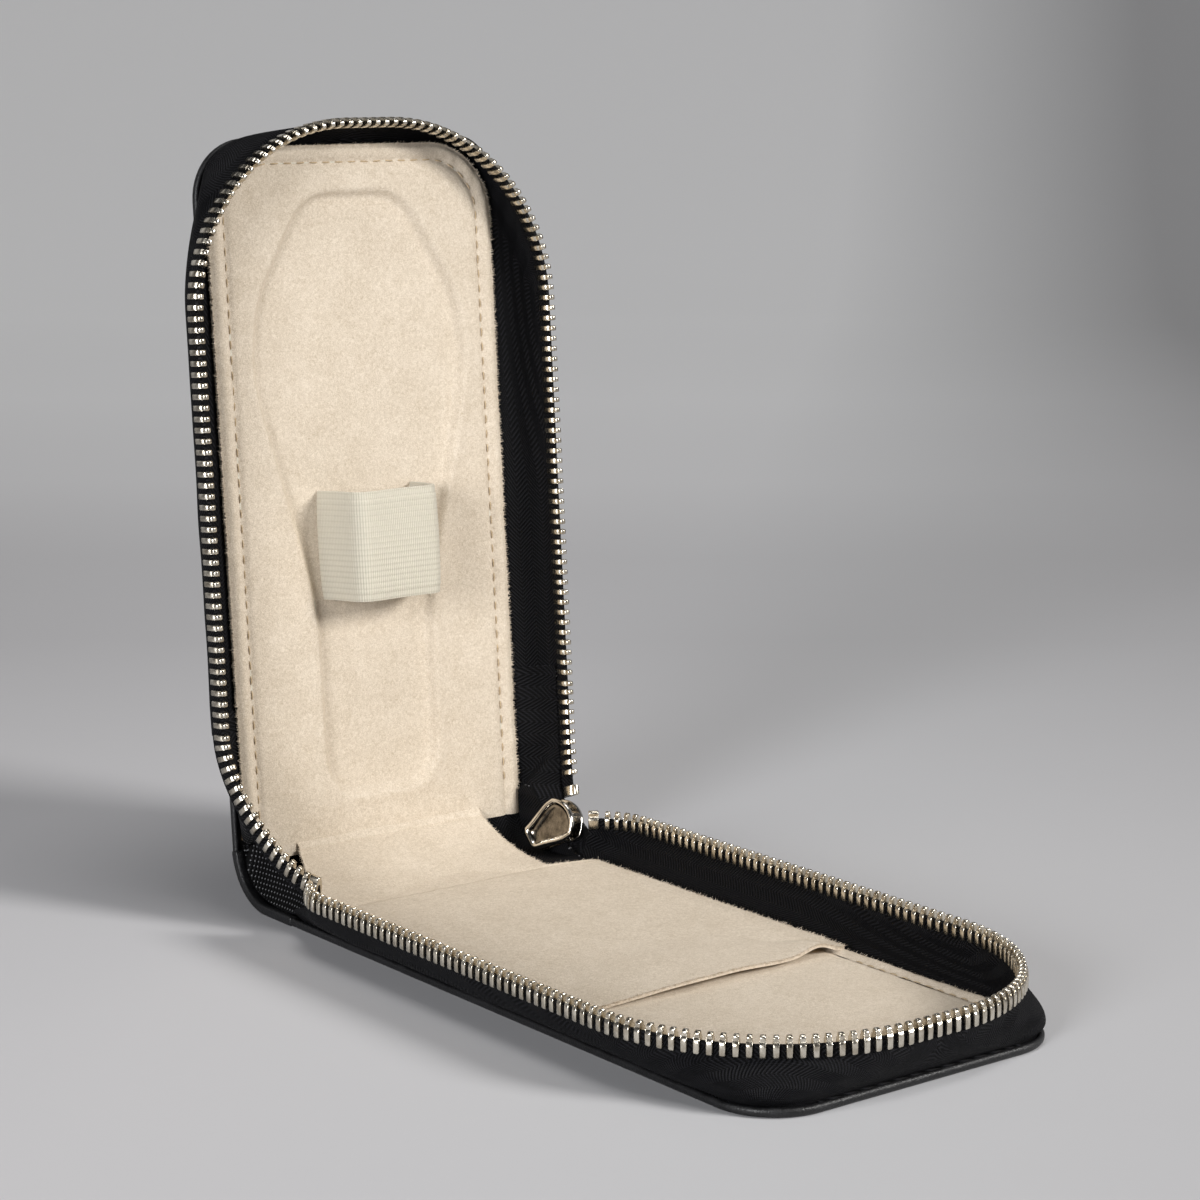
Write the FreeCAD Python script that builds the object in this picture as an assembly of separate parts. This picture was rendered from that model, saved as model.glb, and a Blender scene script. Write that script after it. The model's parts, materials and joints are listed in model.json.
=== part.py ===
import FreeCAD, Part
import math
import os
from FreeCAD import Vector

# Zip-around travel case for one watch, standing open: a flat base half and an upright lid half.
# Millimetres and degrees. X runs along the hinge, the base lies towards -Y, Z is up.
# The origin is the centre of the base's underside.
# A place in a half is written (x, v, w): v runs from the hinge line to the far end,
# w runs from the outer face of the cover to the inside.

# Main sizes of each half
panel_width = 82.0
panel_length = 163.0
panel_corner = 14.0
half_depth = 14.3
hinge_below_plane = 5.5
open_angle = 94.5

# Zip line, which stands out beyond the panel
zip_flare_side = 8.0
zip_flare_end = 2.9
zip_far_half_flat = 6.0
zip_end_radius = 16.0
zip_end_turn = 50.0
zip_end_left = 30.0
zip_end_right = 22.0
lid_zip_start = 34.0

# Layers of each panel, from the outside in
leather_thickness = 1.0
rim_height = 2.0
rim_width = 1.2
board_thickness = 0.8
foam_thickness = 1.6
lining_thickness = 0.6
layer_inset = 2.4
layer_corner = 15.0
lining_inset = 2.0
lining_corner = 17.0
rear_inset = 2.2
rim_edge_chamfer = 0.5
soft_clearance = 0.15

# Pressed outline for the watch in the lid's padding, with drops from its top edge
recess_top_margin = 13.2
recess_top_half = 13.5
recess_shoulder_drop = 24.0
recess_shoulder_half = 27.5
recess_widest_drop = 42.0
recess_widest_half = 29.5
recess_waist_drop = 95.0
recess_waist_half = 15.5
recess_bottom = 14.0
recess_slope = 1.6

# Elastic strap on the lid
strap_above_waist = 1.0
strap_width = 25.5
strap_thickness = 1.0
strap_half_foot = 13.0
strap_half_front = 11.5
strap_stand = 12.5
strap_corner = 2.5

# Card pocket on the base
pocket_mouth = 104.0
pocket_start = 16.0
pocket_thickness = 0.8
pocket_lift = 2.4
pocket_side_inset = 3.0
pocket_flat_rise = 0.2

# Zip tape and teeth
tape_thickness = 0.7
tape_knee = 4.7
tape_top_below_plane = 1.4
tape_foot_start = 8.0
tooth_pitch = 2.47
tooth_thickness = 0.9
tooth_base_width = 2.4
tooth_head_width = 1.6
tooth_leg = 2.5
tooth_past_plane = 0.6
tooth_slot_gap = 0.15
stop_length = 2.4
row_shift = 0.5
far_corner_steps = 12
end_turn_steps = 5

# Loose ends of the lid's zip: where they rest, out from the panel's sides, and which way they point
loose_left_out = -0.6
loose_left_v = 14.0
loose_left_w = 12.6
loose_left_pull = 15.0
loose_left_way = (0.35, -0.93, -0.1)
loose_right_out = 5.0
loose_right_v = -2.4
loose_right_w = 17.8
loose_right_pull = 9.0
loose_right_way = (-0.15, -0.35, -0.93)
loose_steps = 12
measure_steps = 96

# Gussets: how deep their folded foot reaches towards the spine
gusset_low_v = -10.0
gusset_low_w = 3.0
gusset_turn_v = -10.0
gusset_turn_w = 2.4
gusset_spread = 0.6
gusset_steps = 8

# Spine and its lining
spine_thickness = 1.2
spine_flat = 11.2
crease_clearance = 0.7
spine_lining_crease_inset = 13.0
spine_lining_base_inset = 6.0
spine_lining_crease = 4.0
spine_lining_sag = 1.8

# Slider, bail and puller
slider_mouth_out = 0.3
slider_mouth_v = 3.6
slider_mouth_w = 13.7
slider_lean_in = 0.4
slider_lean_back = 0.68
slider_lean_down = 0.61
slider_length = 14.0
slider_mouth_width = 10.6
slider_tail_width = 6.4
slider_shoulder = 3.0
slider_taper_start = 5.0
slider_plate = 1.1
slider_gap = 3.4
slider_flange = 0.9
slider_flange_reach = 1.0
slider_flange_length = 8.0
slider_dish = 0.5
slider_rim = 1.1
wedge_width = 3.4
wedge_nose = 0.8
wedge_wide = 2.8
wedge_end = 8.6
bail_start = 2.8
bail_length = 8.6
bail_width = 2.2
bail_wire = 1.2
bail_height = 2.6
puller_length = 14.0
puller_width = 6.4
puller_tip_width = 3.6
puller_tip_length = 3.0
puller_thickness = 0.8
puller_window = 3.2
puller_clearance = 0.3
puller_rest = 88.0

# Places that follow from the sizes above
hinge_height = half_depth - hinge_below_plane
closed_height = 2 * half_depth
crease_height = spine_thickness / 2
layer_top = leather_thickness + board_thickness + foam_thickness
lining_top = layer_top + lining_thickness
zip_half = panel_width / 2 + zip_flare_side
zip_far_corner = zip_half - zip_far_half_flat
tape_top = half_depth - tape_top_below_plane
sheet_foot = rim_height + soft_clearance
flat_tolerance = 0.0001


# The crease lines lie where one stiff spine reaches the lid both open and closed.
def find_crease_gap():
    turn = math.radians(open_angle)
    above = closed_height - crease_height - hinge_height
    below = hinge_height - crease_height
    a = math.sin(turn)
    b = above * (1 + math.cos(turn)) + below * (1 + math.cos(turn))
    c = -above * below * math.sin(turn)
    return (-b + math.sqrt(b * b - 4 * a * c)) / (2 * a)


crease_gap = find_crease_gap()
hinge_y = panel_length / 2 + crease_gap
panel_far = crease_gap + panel_length
zip_far = panel_far + zip_flare_end
recess_top = panel_far - recess_top_margin
recess_shoulder = recess_top - recess_shoulder_drop
recess_widest = recess_top - recess_widest_drop
recess_waist = recess_top - recess_waist_drop
strap_low = recess_waist + strap_above_waist
hinge_point = Vector(0, hinge_y, hinge_height)
hinge_axis = Vector(-1, 0, 0)


# Base place as a point
def base_point(x, v, w):
    return Vector(x, hinge_y - v, w)


# Lid place as a point with the lid open
def lid_point(x, v, w):
    turn = math.radians(open_angle)
    out = -v
    up = closed_height - w - hinge_height
    y = out * math.cos(turn) + up * math.sin(turn)
    z = up * math.cos(turn) - out * math.sin(turn)
    return Vector(x, hinge_y + y, hinge_height + z)


# Turns a shape made as a base half into the open lid half
def as_lid(shape):
    turned = shape.mirror(Vector(0, 0, half_depth), Vector(0, 0, 1))
    turned.rotate(hinge_point, hinge_axis, open_angle)
    return turned


def line(start, end):
    return Part.LineSegment(start, end).toShape()


def arc(start, middle, end):
    return Part.Arc(start, middle, end).toShape()


def closed_polygon(points):
    return Part.makePolygon(points + [points[0]])


def slab(wire, height):
    return Part.Face(wire).extrude(Vector(0, 0, height))


# Four corners as one flat face, or as two triangles along the shorter diagonal where they do not lie flat
def facet(a, b, c, d):
    normal = (b - a).cross(c - a)
    if abs((d - a).dot(normal)) < flat_tolerance * normal.Length:
        return [Part.Face(closed_polygon([a, b, c, d]))]
    if (c - a).Length < (d - b).Length:
        return [Part.Face(closed_polygon([a, b, c])), Part.Face(closed_polygon([a, c, d]))]
    return [Part.Face(closed_polygon([a, b, d])), Part.Face(closed_polygon([b, c, d]))]


# Closed sheet through rings of points that keep step with each other
def sheet_solid(rings):
    faces = [Part.Face(closed_polygon(rings[0])), Part.Face(closed_polygon(rings[-1]))]
    for low, high in zip(rings, rings[1:]):
        for here in range(len(low)):
            ahead = (here + 1) % len(low)
            faces = faces + facet(low[here], low[ahead], high[ahead], high[here])
    shell = Part.makeShell(faces)
    shell.sewShape()
    solid = Part.makeSolid(shell)
    return solid.reversed() if solid.Volume < 0 else solid


# Panel outline: square at the hinge, rounded at the far end
def panel_outline(half, rear, far, corner, w):
    diagonal = corner * (1 - math.sqrt(0.5))
    rear_left = base_point(-half, rear, w)
    left = base_point(-half, far - corner, w)
    left_middle = base_point(-half + diagonal, far - diagonal, w)
    far_left = base_point(-half + corner, far, w)
    far_right = base_point(half - corner, far, w)
    right_middle = base_point(half - diagonal, far - diagonal, w)
    right = base_point(half, far - corner, w)
    rear_right = base_point(half, rear, w)
    edges = [
        line(rear_left, left),
        arc(left, left_middle, far_left),
        line(far_left, far_right),
        arc(far_right, right_middle, right),
        line(right, rear_right),
        line(rear_right, rear_left),
    ]
    return Part.Wire(edges)


# One layer of a panel, set in from its edge
def layer(inset, corner, w, height):
    half = panel_width / 2 - inset
    wire = panel_outline(half, crease_gap + rear_inset, panel_far - inset, corner, w)
    return slab(wire, height)


# Leather cover with a turned-up rim on the three free sides
def cover_leather():
    rear = crease_gap + crease_clearance
    half = panel_width / 2
    low = panel_outline(half - rim_edge_chamfer, rear, panel_far - rim_edge_chamfer,
                        panel_corner - rim_edge_chamfer, 0)
    high = panel_outline(half, rear, panel_far, panel_corner, rim_edge_chamfer)
    edge = Part.makeLoft([low, high], True, True)
    body = slab(high, rim_height - rim_edge_chamfer)
    inner = panel_outline(half - rim_width, rear - rim_width, panel_far - rim_width,
                          panel_corner - rim_width, leather_thickness)
    return edge.fuse(body).removeSplitter().cut(slab(inner, rim_height))


def stiffener_board():
    return layer(layer_inset, layer_corner, leather_thickness, board_thickness)


def foam_pad():
    return layer(layer_inset, layer_corner, leather_thickness + board_thickness, foam_thickness)


def flat_lining():
    return layer(lining_inset, lining_corner, layer_top, lining_thickness)


# Watch-shaped outline pressed into the lid's padding
def recess_outline(grow, w):
    right = [
        (recess_top_half + grow, recess_top + grow),
        (recess_shoulder_half + grow, recess_shoulder),
        (recess_widest_half + grow, recess_widest),
        (recess_waist_half + grow, recess_waist),
        (recess_waist_half + grow, recess_bottom - grow),
    ]
    left = [(-x, v) for x, v in reversed(right)]
    return closed_polygon([base_point(x, v, w) for x, v in right + left])


def lid_foam():
    hole = slab(recess_outline(lining_thickness + soft_clearance, 0), closed_height)
    return foam_pad().cut(hole)


# Lid lining that dips into the pressed outline, with a slit for each end of the strap
def lid_lining():
    floor = lining_top - foam_thickness
    bowl_top = recess_outline(lining_thickness, lining_top)
    bowl_floor = recess_outline(lining_thickness - recess_slope, floor - lining_thickness)
    bowl = Part.makeLoft([bowl_top, bowl_floor], True, True)
    dip = Part.makeLoft([recess_outline(0, lining_top), recess_outline(-recess_slope, floor)], True, True)
    shape = flat_lining().fuse(bowl).removeSplitter().cut(dip)
    slit_width = strap_thickness + 2 * soft_clearance
    slit_length = strap_width + 2 * soft_clearance
    far = strap_low + strap_width + soft_clearance
    for side in (-1, 1):
        corner = base_point(side * strap_half_foot - slit_width / 2, far, 0)
        shape = shape.cut(Part.makeBox(slit_width, slit_length, closed_height, corner))
    return shape


# Strap profile across the lid at one side's distance from its outer face
def strap_profile(inside):
    foot = strap_half_foot + strap_thickness / 2 - inside
    front = strap_half_front + strap_thickness / 2 - inside
    top = lining_top + strap_stand - inside
    low = leather_thickness + board_thickness
    corner = strap_corner - inside
    bow = corner * (1 - math.sqrt(0.5))
    v = strap_low
    edges = [
        line(base_point(-foot, v, low), base_point(-front, v, top - corner)),
        arc(base_point(-front, v, top - corner), base_point(-front + bow, v, top - bow),
            base_point(-front + corner, v, top)),
        line(base_point(-front + corner, v, top), base_point(front - corner, v, top)),
        arc(base_point(front - corner, v, top), base_point(front - bow, v, top - bow),
            base_point(front, v, top - corner)),
        line(base_point(front, v, top - corner), base_point(foot, v, low)),
        line(base_point(foot, v, low), base_point(-foot, v, low)),
    ]
    return Part.Face(Part.Wire(edges)).extrude(Vector(0, -strap_width, 0))


def elastic_strap():
    return strap_profile(0).cut(strap_profile(strap_thickness))


# One arched cross-section of the pocket sheet
def pocket_section(v, lift):
    half = panel_width / 2 - pocket_side_inset
    low = lining_top
    high = low + pocket_thickness
    left_low = base_point(-half, v, low)
    right_low = base_point(half, v, low)
    left_high = base_point(-half, v, high)
    right_high = base_point(half, v, high)
    edges = [
        arc(left_low, base_point(0, v, low + lift), right_low),
        line(right_low, right_high),
        arc(right_high, base_point(0, v, high + lift), left_high),
        line(left_high, left_low),
    ]
    return Part.Wire(edges)


def card_pocket():
    sections = [pocket_section(pocket_start, pocket_flat_rise), pocket_section(pocket_mouth, pocket_lift)]
    return Part.makeLoft(sections, True, True)


# Points of a round corner in plan: centre, radius and the angles from -X that it turns through
def corner_points(x, v, radius, first, last, steps):
    angles = [math.radians(first + (last - first) * step / steps) for step in range(steps + 1)]
    return [(x - radius * math.cos(angle), v + radius * math.sin(angle)) for angle in angles]


# One half of the zip line, from a hinge end to the far end, as (distance from the middle, v)
def zip_half_line(inside, start):
    half = zip_half - inside
    corner = zip_far_corner - inside
    radius = zip_end_radius - inside
    end = corner_points(half - radius, start, radius, -zip_end_turn, 0, end_turn_steps)
    far = corner_points(half - corner, zip_far - zip_far_corner, corner, 0, 90, far_corner_steps)
    return [(2 * (half - radius) - x, v) for x, v in end] + [(2 * (half - corner) - x, v) for x, v in far]


# One half of the tape's sewn foot, in step with the zip line
def foot_half_line(inside, start):
    inset = rim_width + soft_clearance + inside
    half = panel_width / 2 - inset
    corner = panel_corner - inset
    run = (start - tape_foot_start) / end_turn_steps
    end = [(half, tape_foot_start + run * step) for step in range(end_turn_steps + 1)]
    far = corner_points(half - corner, panel_far - panel_corner, corner, 0, 90, far_corner_steps)
    return end + [(2 * (half - corner) - x, v) for x, v in far]


# Closed outline of the tape at one height, as a band from its outer to its inner face
def tape_outline(half_line, w):
    outline = []
    for inside, flip in ((0, False), (tape_thickness, True)):
        left = [base_point(-x, v, w) for x, v in half_line(inside, zip_end_left)]
        right = [base_point(x, v, w) for x, v in half_line(inside, zip_end_right)]
        points = left + right[::-1]
        outline = outline + (points[::-1] if flip else points)
    return outline


# Woven zip tape: upright inside the rim, leaning out, then upright again along the teeth
def zip_tape():
    sections = [
        tape_outline(foot_half_line, leather_thickness),
        tape_outline(foot_half_line, sheet_foot),
        tape_outline(zip_half_line, half_depth - tape_knee),
        tape_outline(zip_half_line, tape_top),
    ]
    return sheet_solid(sections)


# Space over the hinge end of a half, up to v, to the right of a given x
def hinge_end_room(v, left):
    corner = Vector(left, hinge_y - v, -half_depth)
    return Part.makeBox(2 * panel_width, 2 * v, 2 * closed_height, corner)


# The base's tape is stiff up to where its right end turns in to the slider
def base_zip_tape():
    return zip_tape().cut(hinge_end_room(zip_end_right + soft_clearance, 0))


def base_end_tape():
    return zip_tape().common(hinge_end_room(zip_end_right, 0))


# The lid's tape is cut off where its loose ends begin
def lid_zip_tape():
    return zip_tape().cut(hinge_end_room(lid_zip_start + soft_clearance, -panel_width))


# Centre of the teeth at a distance along the zip line from the middle of the far end
def zip_place(distance):
    side = -1 if distance < 0 else 1
    rest = abs(distance)
    middle = zip_half - tape_thickness / 2
    corner = zip_far_corner - tape_thickness / 2
    far = zip_far - tape_thickness / 2
    radius = zip_end_radius - tape_thickness / 2
    start = zip_end_left if side < 0 else zip_end_right
    flat = middle - corner
    if rest < flat:
        return side * rest, far, 0.0, side
    rest = rest - flat
    if rest < corner * math.pi / 2:
        angle = rest / corner
        return side * (flat + corner * math.sin(angle)), far - corner * (1 - math.cos(angle)), angle, side
    rest = rest - corner * math.pi / 2
    run = far - corner - start
    if rest < run:
        return side * middle, far - corner - rest, math.pi / 2, side
    angle = (rest - run) / radius
    x = middle - radius * (1 - math.cos(angle))
    return side * x, start - radius * math.sin(angle), math.pi / 2 + angle, side


# Length of the zip line from the middle of the far end to one hinge end
def zip_reach(start, turn):
    inside = tape_thickness / 2
    flat = zip_half - zip_far_corner
    bend = (zip_far_corner - inside) * math.pi / 2
    run = zip_far - zip_far_corner - start
    return flat + bend + run + (zip_end_radius - inside) * math.radians(turn)


# One tooth clamped over the tape's edge, which lies at its origin; its head points along Z
def tooth(length=tooth_thickness):
    foot = tooth_base_width / 2
    head = tooth_head_width / 2
    slot = tape_thickness / 2 + tooth_slot_gap
    top = tape_top_below_plane + tooth_past_plane
    outline = [
        Vector(-foot, 0, -tooth_leg),
        Vector(-slot, 0, -tooth_leg),
        Vector(-slot, 0, tooth_slot_gap),
        Vector(slot, 0, tooth_slot_gap),
        Vector(slot, 0, -tooth_leg),
        Vector(foot, 0, -tooth_leg),
        Vector(head, 0, top),
        Vector(-head, 0, top),
    ]
    body = Part.Face(closed_polygon(outline)).extrude(Vector(0, length, 0))
    body.translate(Vector(0, -length / 2, 0))
    return body


def place_on_zip(piece, distance):
    x, v, angle, side = zip_place(distance)
    placed = piece.copy()
    placed.rotate(Vector(0, 0, 0), Vector(0, 0, 1), side * (math.degrees(angle) - 90))
    placed.translate(base_point(x, v, tape_top))
    return placed


# Row of separate teeth between two distances; the shift puts the two rows half a pitch out of step
def tooth_row(shift, start, end):
    first = math.ceil(start / tooth_pitch - shift)
    last = math.floor(end / tooth_pitch - shift)
    return [place_on_zip(tooth(), (count + shift) * tooth_pitch) for count in range(first, last + 1)]


# Cubic curve by its four control points
def cubic(points, t):
    s = 1 - t
    return points[0] * s ** 3 + points[1] * 3 * s * s * t + points[2] * 3 * s * t * t + points[3] * t ** 3


def cubic_way(points, t):
    s = 1 - t
    first = (points[1] - points[0]) * s * s
    middle = (points[2] - points[1]) * 2 * s * t
    last = (points[3] - points[2]) * t * t
    return (first + middle + last).normalize()


# Loose end of the lid's zip: it bends from the lid towards the base
def loose_curve(side):
    middle = zip_half - tape_thickness / 2
    start = lid_point(side * middle, lid_zip_start, tape_top)
    down = lid_point(side * middle, 0, tape_top) - lid_point(side * middle, 1, tape_top)
    if side < 0:
        end = base_point(-panel_width / 2 - loose_left_out, loose_left_v, loose_left_w)
        way = Vector(*loose_left_way).normalize()
        pull = loose_left_pull
    else:
        end = base_point(panel_width / 2 + loose_right_out, loose_right_v, loose_right_w)
        way = Vector(*loose_right_way).normalize()
        pull = loose_right_pull
    return [start, start + down * pull, end - way * pull, end]


# Frame along a loose end: point, way along it, way across it and way of the tooth heads
def loose_frame(side, t):
    curve = loose_curve(side)
    way = cubic_way(curve, t)
    head = way.cross(Vector(1, 0, 0)).normalize()
    if head.dot(Vector(0, -1, 1)) < 0:
        head = head * -1
    across = way.cross(head).normalize()
    return cubic(curve, t), way, across, head


def loose_tape(side):
    sections = []
    half = tape_thickness / 2
    reach = tape_knee - tape_top_below_plane
    for step in range(loose_steps + 1):
        point, way, across, head = loose_frame(side, step / loose_steps)
        low = point - head * reach
        thick = across * half
        sections.append([point - thick, point + thick, low + thick, low - thick])
    return sheet_solid(sections)


def loose_length(side):
    curve = loose_curve(side)
    points = [cubic(curve, step / measure_steps) for step in range(measure_steps + 1)]
    return sum((b - a).Length for a, b in zip(points, points[1:]))


# Value along a loose end that lies a given length from its start
def loose_value(side, length):
    curve = loose_curve(side)
    walked = 0.0
    previous = cubic(curve, 0)
    for step in range(1, measure_steps + 1):
        point = cubic(curve, step / measure_steps)
        gap = (point - previous).Length
        if walked + gap >= length:
            return (step - 1 + (length - walked) / gap) / measure_steps
        walked = walked + gap
        previous = point
    return 1.0


def placed_by(piece, matrix):
    placed = piece.copy()
    placed.transformShape(matrix)
    return placed


def place_on_loose(piece, side, length):
    point, way, across, head = loose_frame(side, loose_value(side, length))
    matrix = FreeCAD.Matrix(across.x, way.x, head.x, point.x,
                            across.y, way.y, head.y, point.y,
                            across.z, way.z, head.z, point.z,
                            0, 0, 0, 1)
    return placed_by(piece, matrix)


# Teeth of a loose end, in step with the lid's row
def loose_teeth(side):
    start = zip_end_left if side < 0 else zip_end_right
    reach = zip_reach(start, 0) - (lid_zip_start - start)
    first = (math.floor(reach / tooth_pitch - row_shift) + 1 + row_shift) * tooth_pitch - reach
    room = loose_length(side) - stop_length - tooth_thickness
    count = int((room - first) / tooth_pitch) + 1
    return [place_on_loose(tooth(), side, first + step * tooth_pitch) for step in range(count)]


# Leather spine: flat on the ground from the base's crease, then round up to the lid's crease
def spine_leather():
    low = base_point(0, crease_gap, crease_height)
    high = lid_point(0, crease_gap, crease_height)
    bend = low + Vector(0, spine_flat, 0)
    across = high.y - bend.y
    rise = high.z - bend.z
    radius = (across * across + rise * rise) / (2 * rise)
    centre = bend + Vector(0, 0, radius)
    full_turn = math.atan2(across, radius - rise)
    turn = full_turn - crease_clearance / radius
    start = low + Vector(0, crease_clearance, 0)
    half = spine_thickness / 2

    def on_arc(share, r):
        angle = turn * share
        return centre + Vector(0, r * math.sin(angle), -r * math.cos(angle))

    outer = radius + half
    inner = radius - half
    edges = [
        line(start - Vector(0, 0, half), on_arc(0, outer)),
        arc(on_arc(0, outer), on_arc(0.5, outer), on_arc(1, outer)),
        line(on_arc(1, outer), on_arc(1, inner)),
        arc(on_arc(1, inner), on_arc(0.5, inner), on_arc(0, inner)),
        line(on_arc(0, inner), start + Vector(0, 0, half)),
        line(start + Vector(0, 0, half), start - Vector(0, 0, half)),
    ]
    face = Part.Face(Part.Wire(edges))
    face.translate(Vector(-panel_width / 2, 0, 0))
    return face.extrude(Vector(panel_width, 0, 0))


# Suede over the spine: from the pocket sheet it rises to a crease, then meets the lid's lining
def spine_lining():
    end_v = crease_gap + rear_inset - soft_clearance
    start = base_point(0, pocket_start - soft_clearance, lining_top)
    crease = lid_point(0, spine_lining_crease, layer_top)
    end = lid_point(0, end_v, layer_top)
    thick = Vector(0, 0, lining_thickness)
    inner_end = lid_point(0, end_v, lining_top)
    inner_crease = lid_point(0, spine_lining_crease + lining_thickness, lining_top)
    middle = (start + crease) * 0.5 - Vector(0, 0, spine_lining_sag)
    edges = [
        arc(start, middle, crease),
        line(crease, end),
        line(end, inner_end),
        line(inner_end, inner_crease),
        arc(inner_crease, middle + thick, start + thick),
        line(start + thick, start),
    ]
    face = Part.Face(Part.Wire(edges))
    face.translate(Vector(-panel_width / 2, 0, 0))
    sheet = face.extrude(Vector(panel_width, 0, 0))
    base_half = panel_width / 2 - spine_lining_base_inset
    crease_half = panel_width / 2 - spine_lining_crease_inset
    plan = [
        Vector(-base_half, start.y, 0),
        Vector(base_half, start.y, 0),
        Vector(crease_half, crease.y, 0),
        Vector(-crease_half, crease.y, 0),
    ]
    return sheet.common(slab(closed_polygon(plan), closed_height))


# Woven gusset that closes the corner between base, spine and lid
def gusset(side):
    foot_x = side * (panel_width / 2 - rim_width - soft_clearance - tape_thickness)
    bowed_x = foot_x + side * gusset_spread
    foot_curve = [
        lid_point(foot_x, lid_zip_start, sheet_foot),
        lid_point(bowed_x, gusset_low_v, gusset_low_w),
        base_point(bowed_x, gusset_turn_v, gusset_turn_w),
        base_point(foot_x, tape_foot_start - soft_clearance, sheet_foot),
    ]
    thick = Vector(side * tape_thickness, 0, 0)
    reach = tape_knee - tape_top_below_plane + soft_clearance
    sections = []
    for step in range(gusset_steps + 1):
        point, way, across, head = loose_frame(side, step / gusset_steps)
        top = point - head * reach - thick * 0.5
        foot = cubic(foot_curve, step / gusset_steps)
        sections.append([top, top + thick, foot + thick, foot])
    return sheet_solid(sections)


# Slider frame: mouth centre, way from mouth to tail, way across, and way into the case
def slider_frame():
    way = Vector(-slider_lean_in, slider_lean_back, -slider_lean_down).normalize()
    inward = Vector(-1, 0, 0)
    inward = (inward - way * inward.dot(way)).normalize()
    across = way.cross(inward).normalize()
    mouth_x = panel_width / 2 + slider_mouth_out
    return base_point(mouth_x, slider_mouth_v, slider_mouth_w), way, across, inward


# Moves a piece from the slider's own frame: X across, Y from mouth to tail, Z into the case
def on_slider(piece):
    point, way, across, inward = slider_frame()
    matrix = FreeCAD.Matrix(across.x, way.x, inward.x, point.x,
                            across.y, way.y, inward.y, point.y,
                            across.z, way.z, inward.z, point.z,
                            0, 0, 0, 1)
    return placed_by(piece, matrix)


# Tapered plate outline of the slider, grown by an amount, as a flat wire at a height
def slider_outline(grow, z):
    mouth = slider_mouth_width / 2 + grow
    tail = slider_tail_width / 2 + grow
    end = slider_length + grow
    edges = [
        arc(Vector(-mouth, slider_shoulder, z), Vector(0, -grow, z), Vector(mouth, slider_shoulder, z)),
        line(Vector(mouth, slider_shoulder, z), Vector(mouth, slider_taper_start, z)),
        line(Vector(mouth, slider_taper_start, z), Vector(tail, end, z)),
        line(Vector(tail, end, z), Vector(-tail, end, z)),
        line(Vector(-tail, end, z), Vector(-mouth, slider_taper_start, z)),
        line(Vector(-mouth, slider_taper_start, z), Vector(-mouth, slider_shoulder, z)),
    ]
    return Part.Wire(edges)


# Two plates, the wedge that parts the rows, and side flanges that leave a slot for the tape
def slider_body():
    half_gap = slider_gap / 2
    inner = slab(slider_outline(0, half_gap), slider_plate)
    dish = slab(slider_outline(-slider_rim, half_gap + slider_plate - slider_dish), slider_dish)
    outer = slab(slider_outline(0, -half_gap - slider_plate), slider_plate)
    wedge = slab(closed_polygon([
        Vector(0, wedge_end, -half_gap),
        Vector(-wedge_width / 2, wedge_wide, -half_gap),
        Vector(0, wedge_nose, -half_gap),
        Vector(wedge_width / 2, wedge_wide, -half_gap),
    ]), slider_gap)
    ring = slab(slider_outline(0, -half_gap), slider_gap)
    ring = ring.cut(slab(slider_outline(-slider_flange, -half_gap), slider_gap))
    sides = Part.makeBox(slider_mouth_width, slider_flange_length, slider_gap,
                         Vector(-slider_mouth_width / 2, slider_taper_start, -half_gap))
    slot_height = slider_gap - 2 * slider_flange_reach
    slot = slab(slider_outline(slider_flange, slider_flange_reach - half_gap), slot_height)
    flanges = ring.common(sides).cut(slot)
    body = inner.cut(dish).fuse([outer, wedge, flanges]).removeSplitter()
    return on_slider(body)


# Bridge on the outer plate that holds the puller
def slider_bail():
    plate = -slider_gap / 2 - slider_plate
    block = Part.makeBox(bail_width, bail_length, bail_height,
                         Vector(-bail_width / 2, bail_start, plate - bail_height))
    opening = Part.makeBox(bail_width, bail_length - 2 * bail_wire, bail_height - bail_wire,
                           Vector(-bail_width / 2, bail_start + bail_wire, plate - bail_height + bail_wire))
    return on_slider(block.cut(opening))


# Centre of the puller's bar in the slider's frame
def puller_bar():
    y = bail_start + bail_length - bail_wire - puller_clearance - puller_thickness / 2
    z = -slider_gap / 2 - slider_plate - (bail_height - bail_wire) / 2
    return Vector(0, y, z)


# Flat tab with a window that loops round the bail, swung out to where it rests
def puller():
    half = puller_width / 2
    bar = puller_thickness / 2
    window_half = bail_width / 2 + puller_clearance
    tip = puller_tip_width / 2
    shoulder = puller_length - puller_tip_length
    outline = closed_polygon([
        Vector(-half, -bar, -bar),
        Vector(half, -bar, -bar),
        Vector(half, shoulder, -bar),
        Vector(tip, puller_length, -bar),
        Vector(-tip, puller_length, -bar),
        Vector(-half, shoulder, -bar),
    ])
    window = Part.makeBox(2 * window_half, puller_window, puller_thickness, Vector(-window_half, bar, -bar))
    tab = slab(outline, puller_thickness).cut(window)
    tab.rotate(Vector(0, 0, 0), Vector(1, 0, 0), -puller_rest)
    tab.translate(puller_bar())
    return on_slider(tab)


# Room that the slider, its bail and its puller need, cut from the gusset beside them
def slider_room():
    plate = slider_gap / 2 + slider_plate
    half = slider_mouth_width / 2 + puller_clearance
    low = -plate - bail_height - puller_clearance
    body = Part.makeBox(2 * half, slider_length + 2 * puller_clearance, plate + puller_clearance - low,
                        Vector(-half, -puller_clearance, low))
    swing_half = puller_width / 2 + puller_clearance
    start = puller_bar().y - 2 * puller_thickness
    swing = Part.makeBox(2 * swing_half, puller_length, 2 * puller_length,
                         Vector(-swing_half, start, low - 2 * puller_length))
    return [on_slider(body), on_slider(swing)]


# Stops at the ends of the rows, each a longer clip of the tooth's section
def lid_stops():
    clip = tooth(stop_length)
    return [place_on_loose(clip, side, loose_length(side) - stop_length / 2) for side in (-1, 1)]


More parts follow.
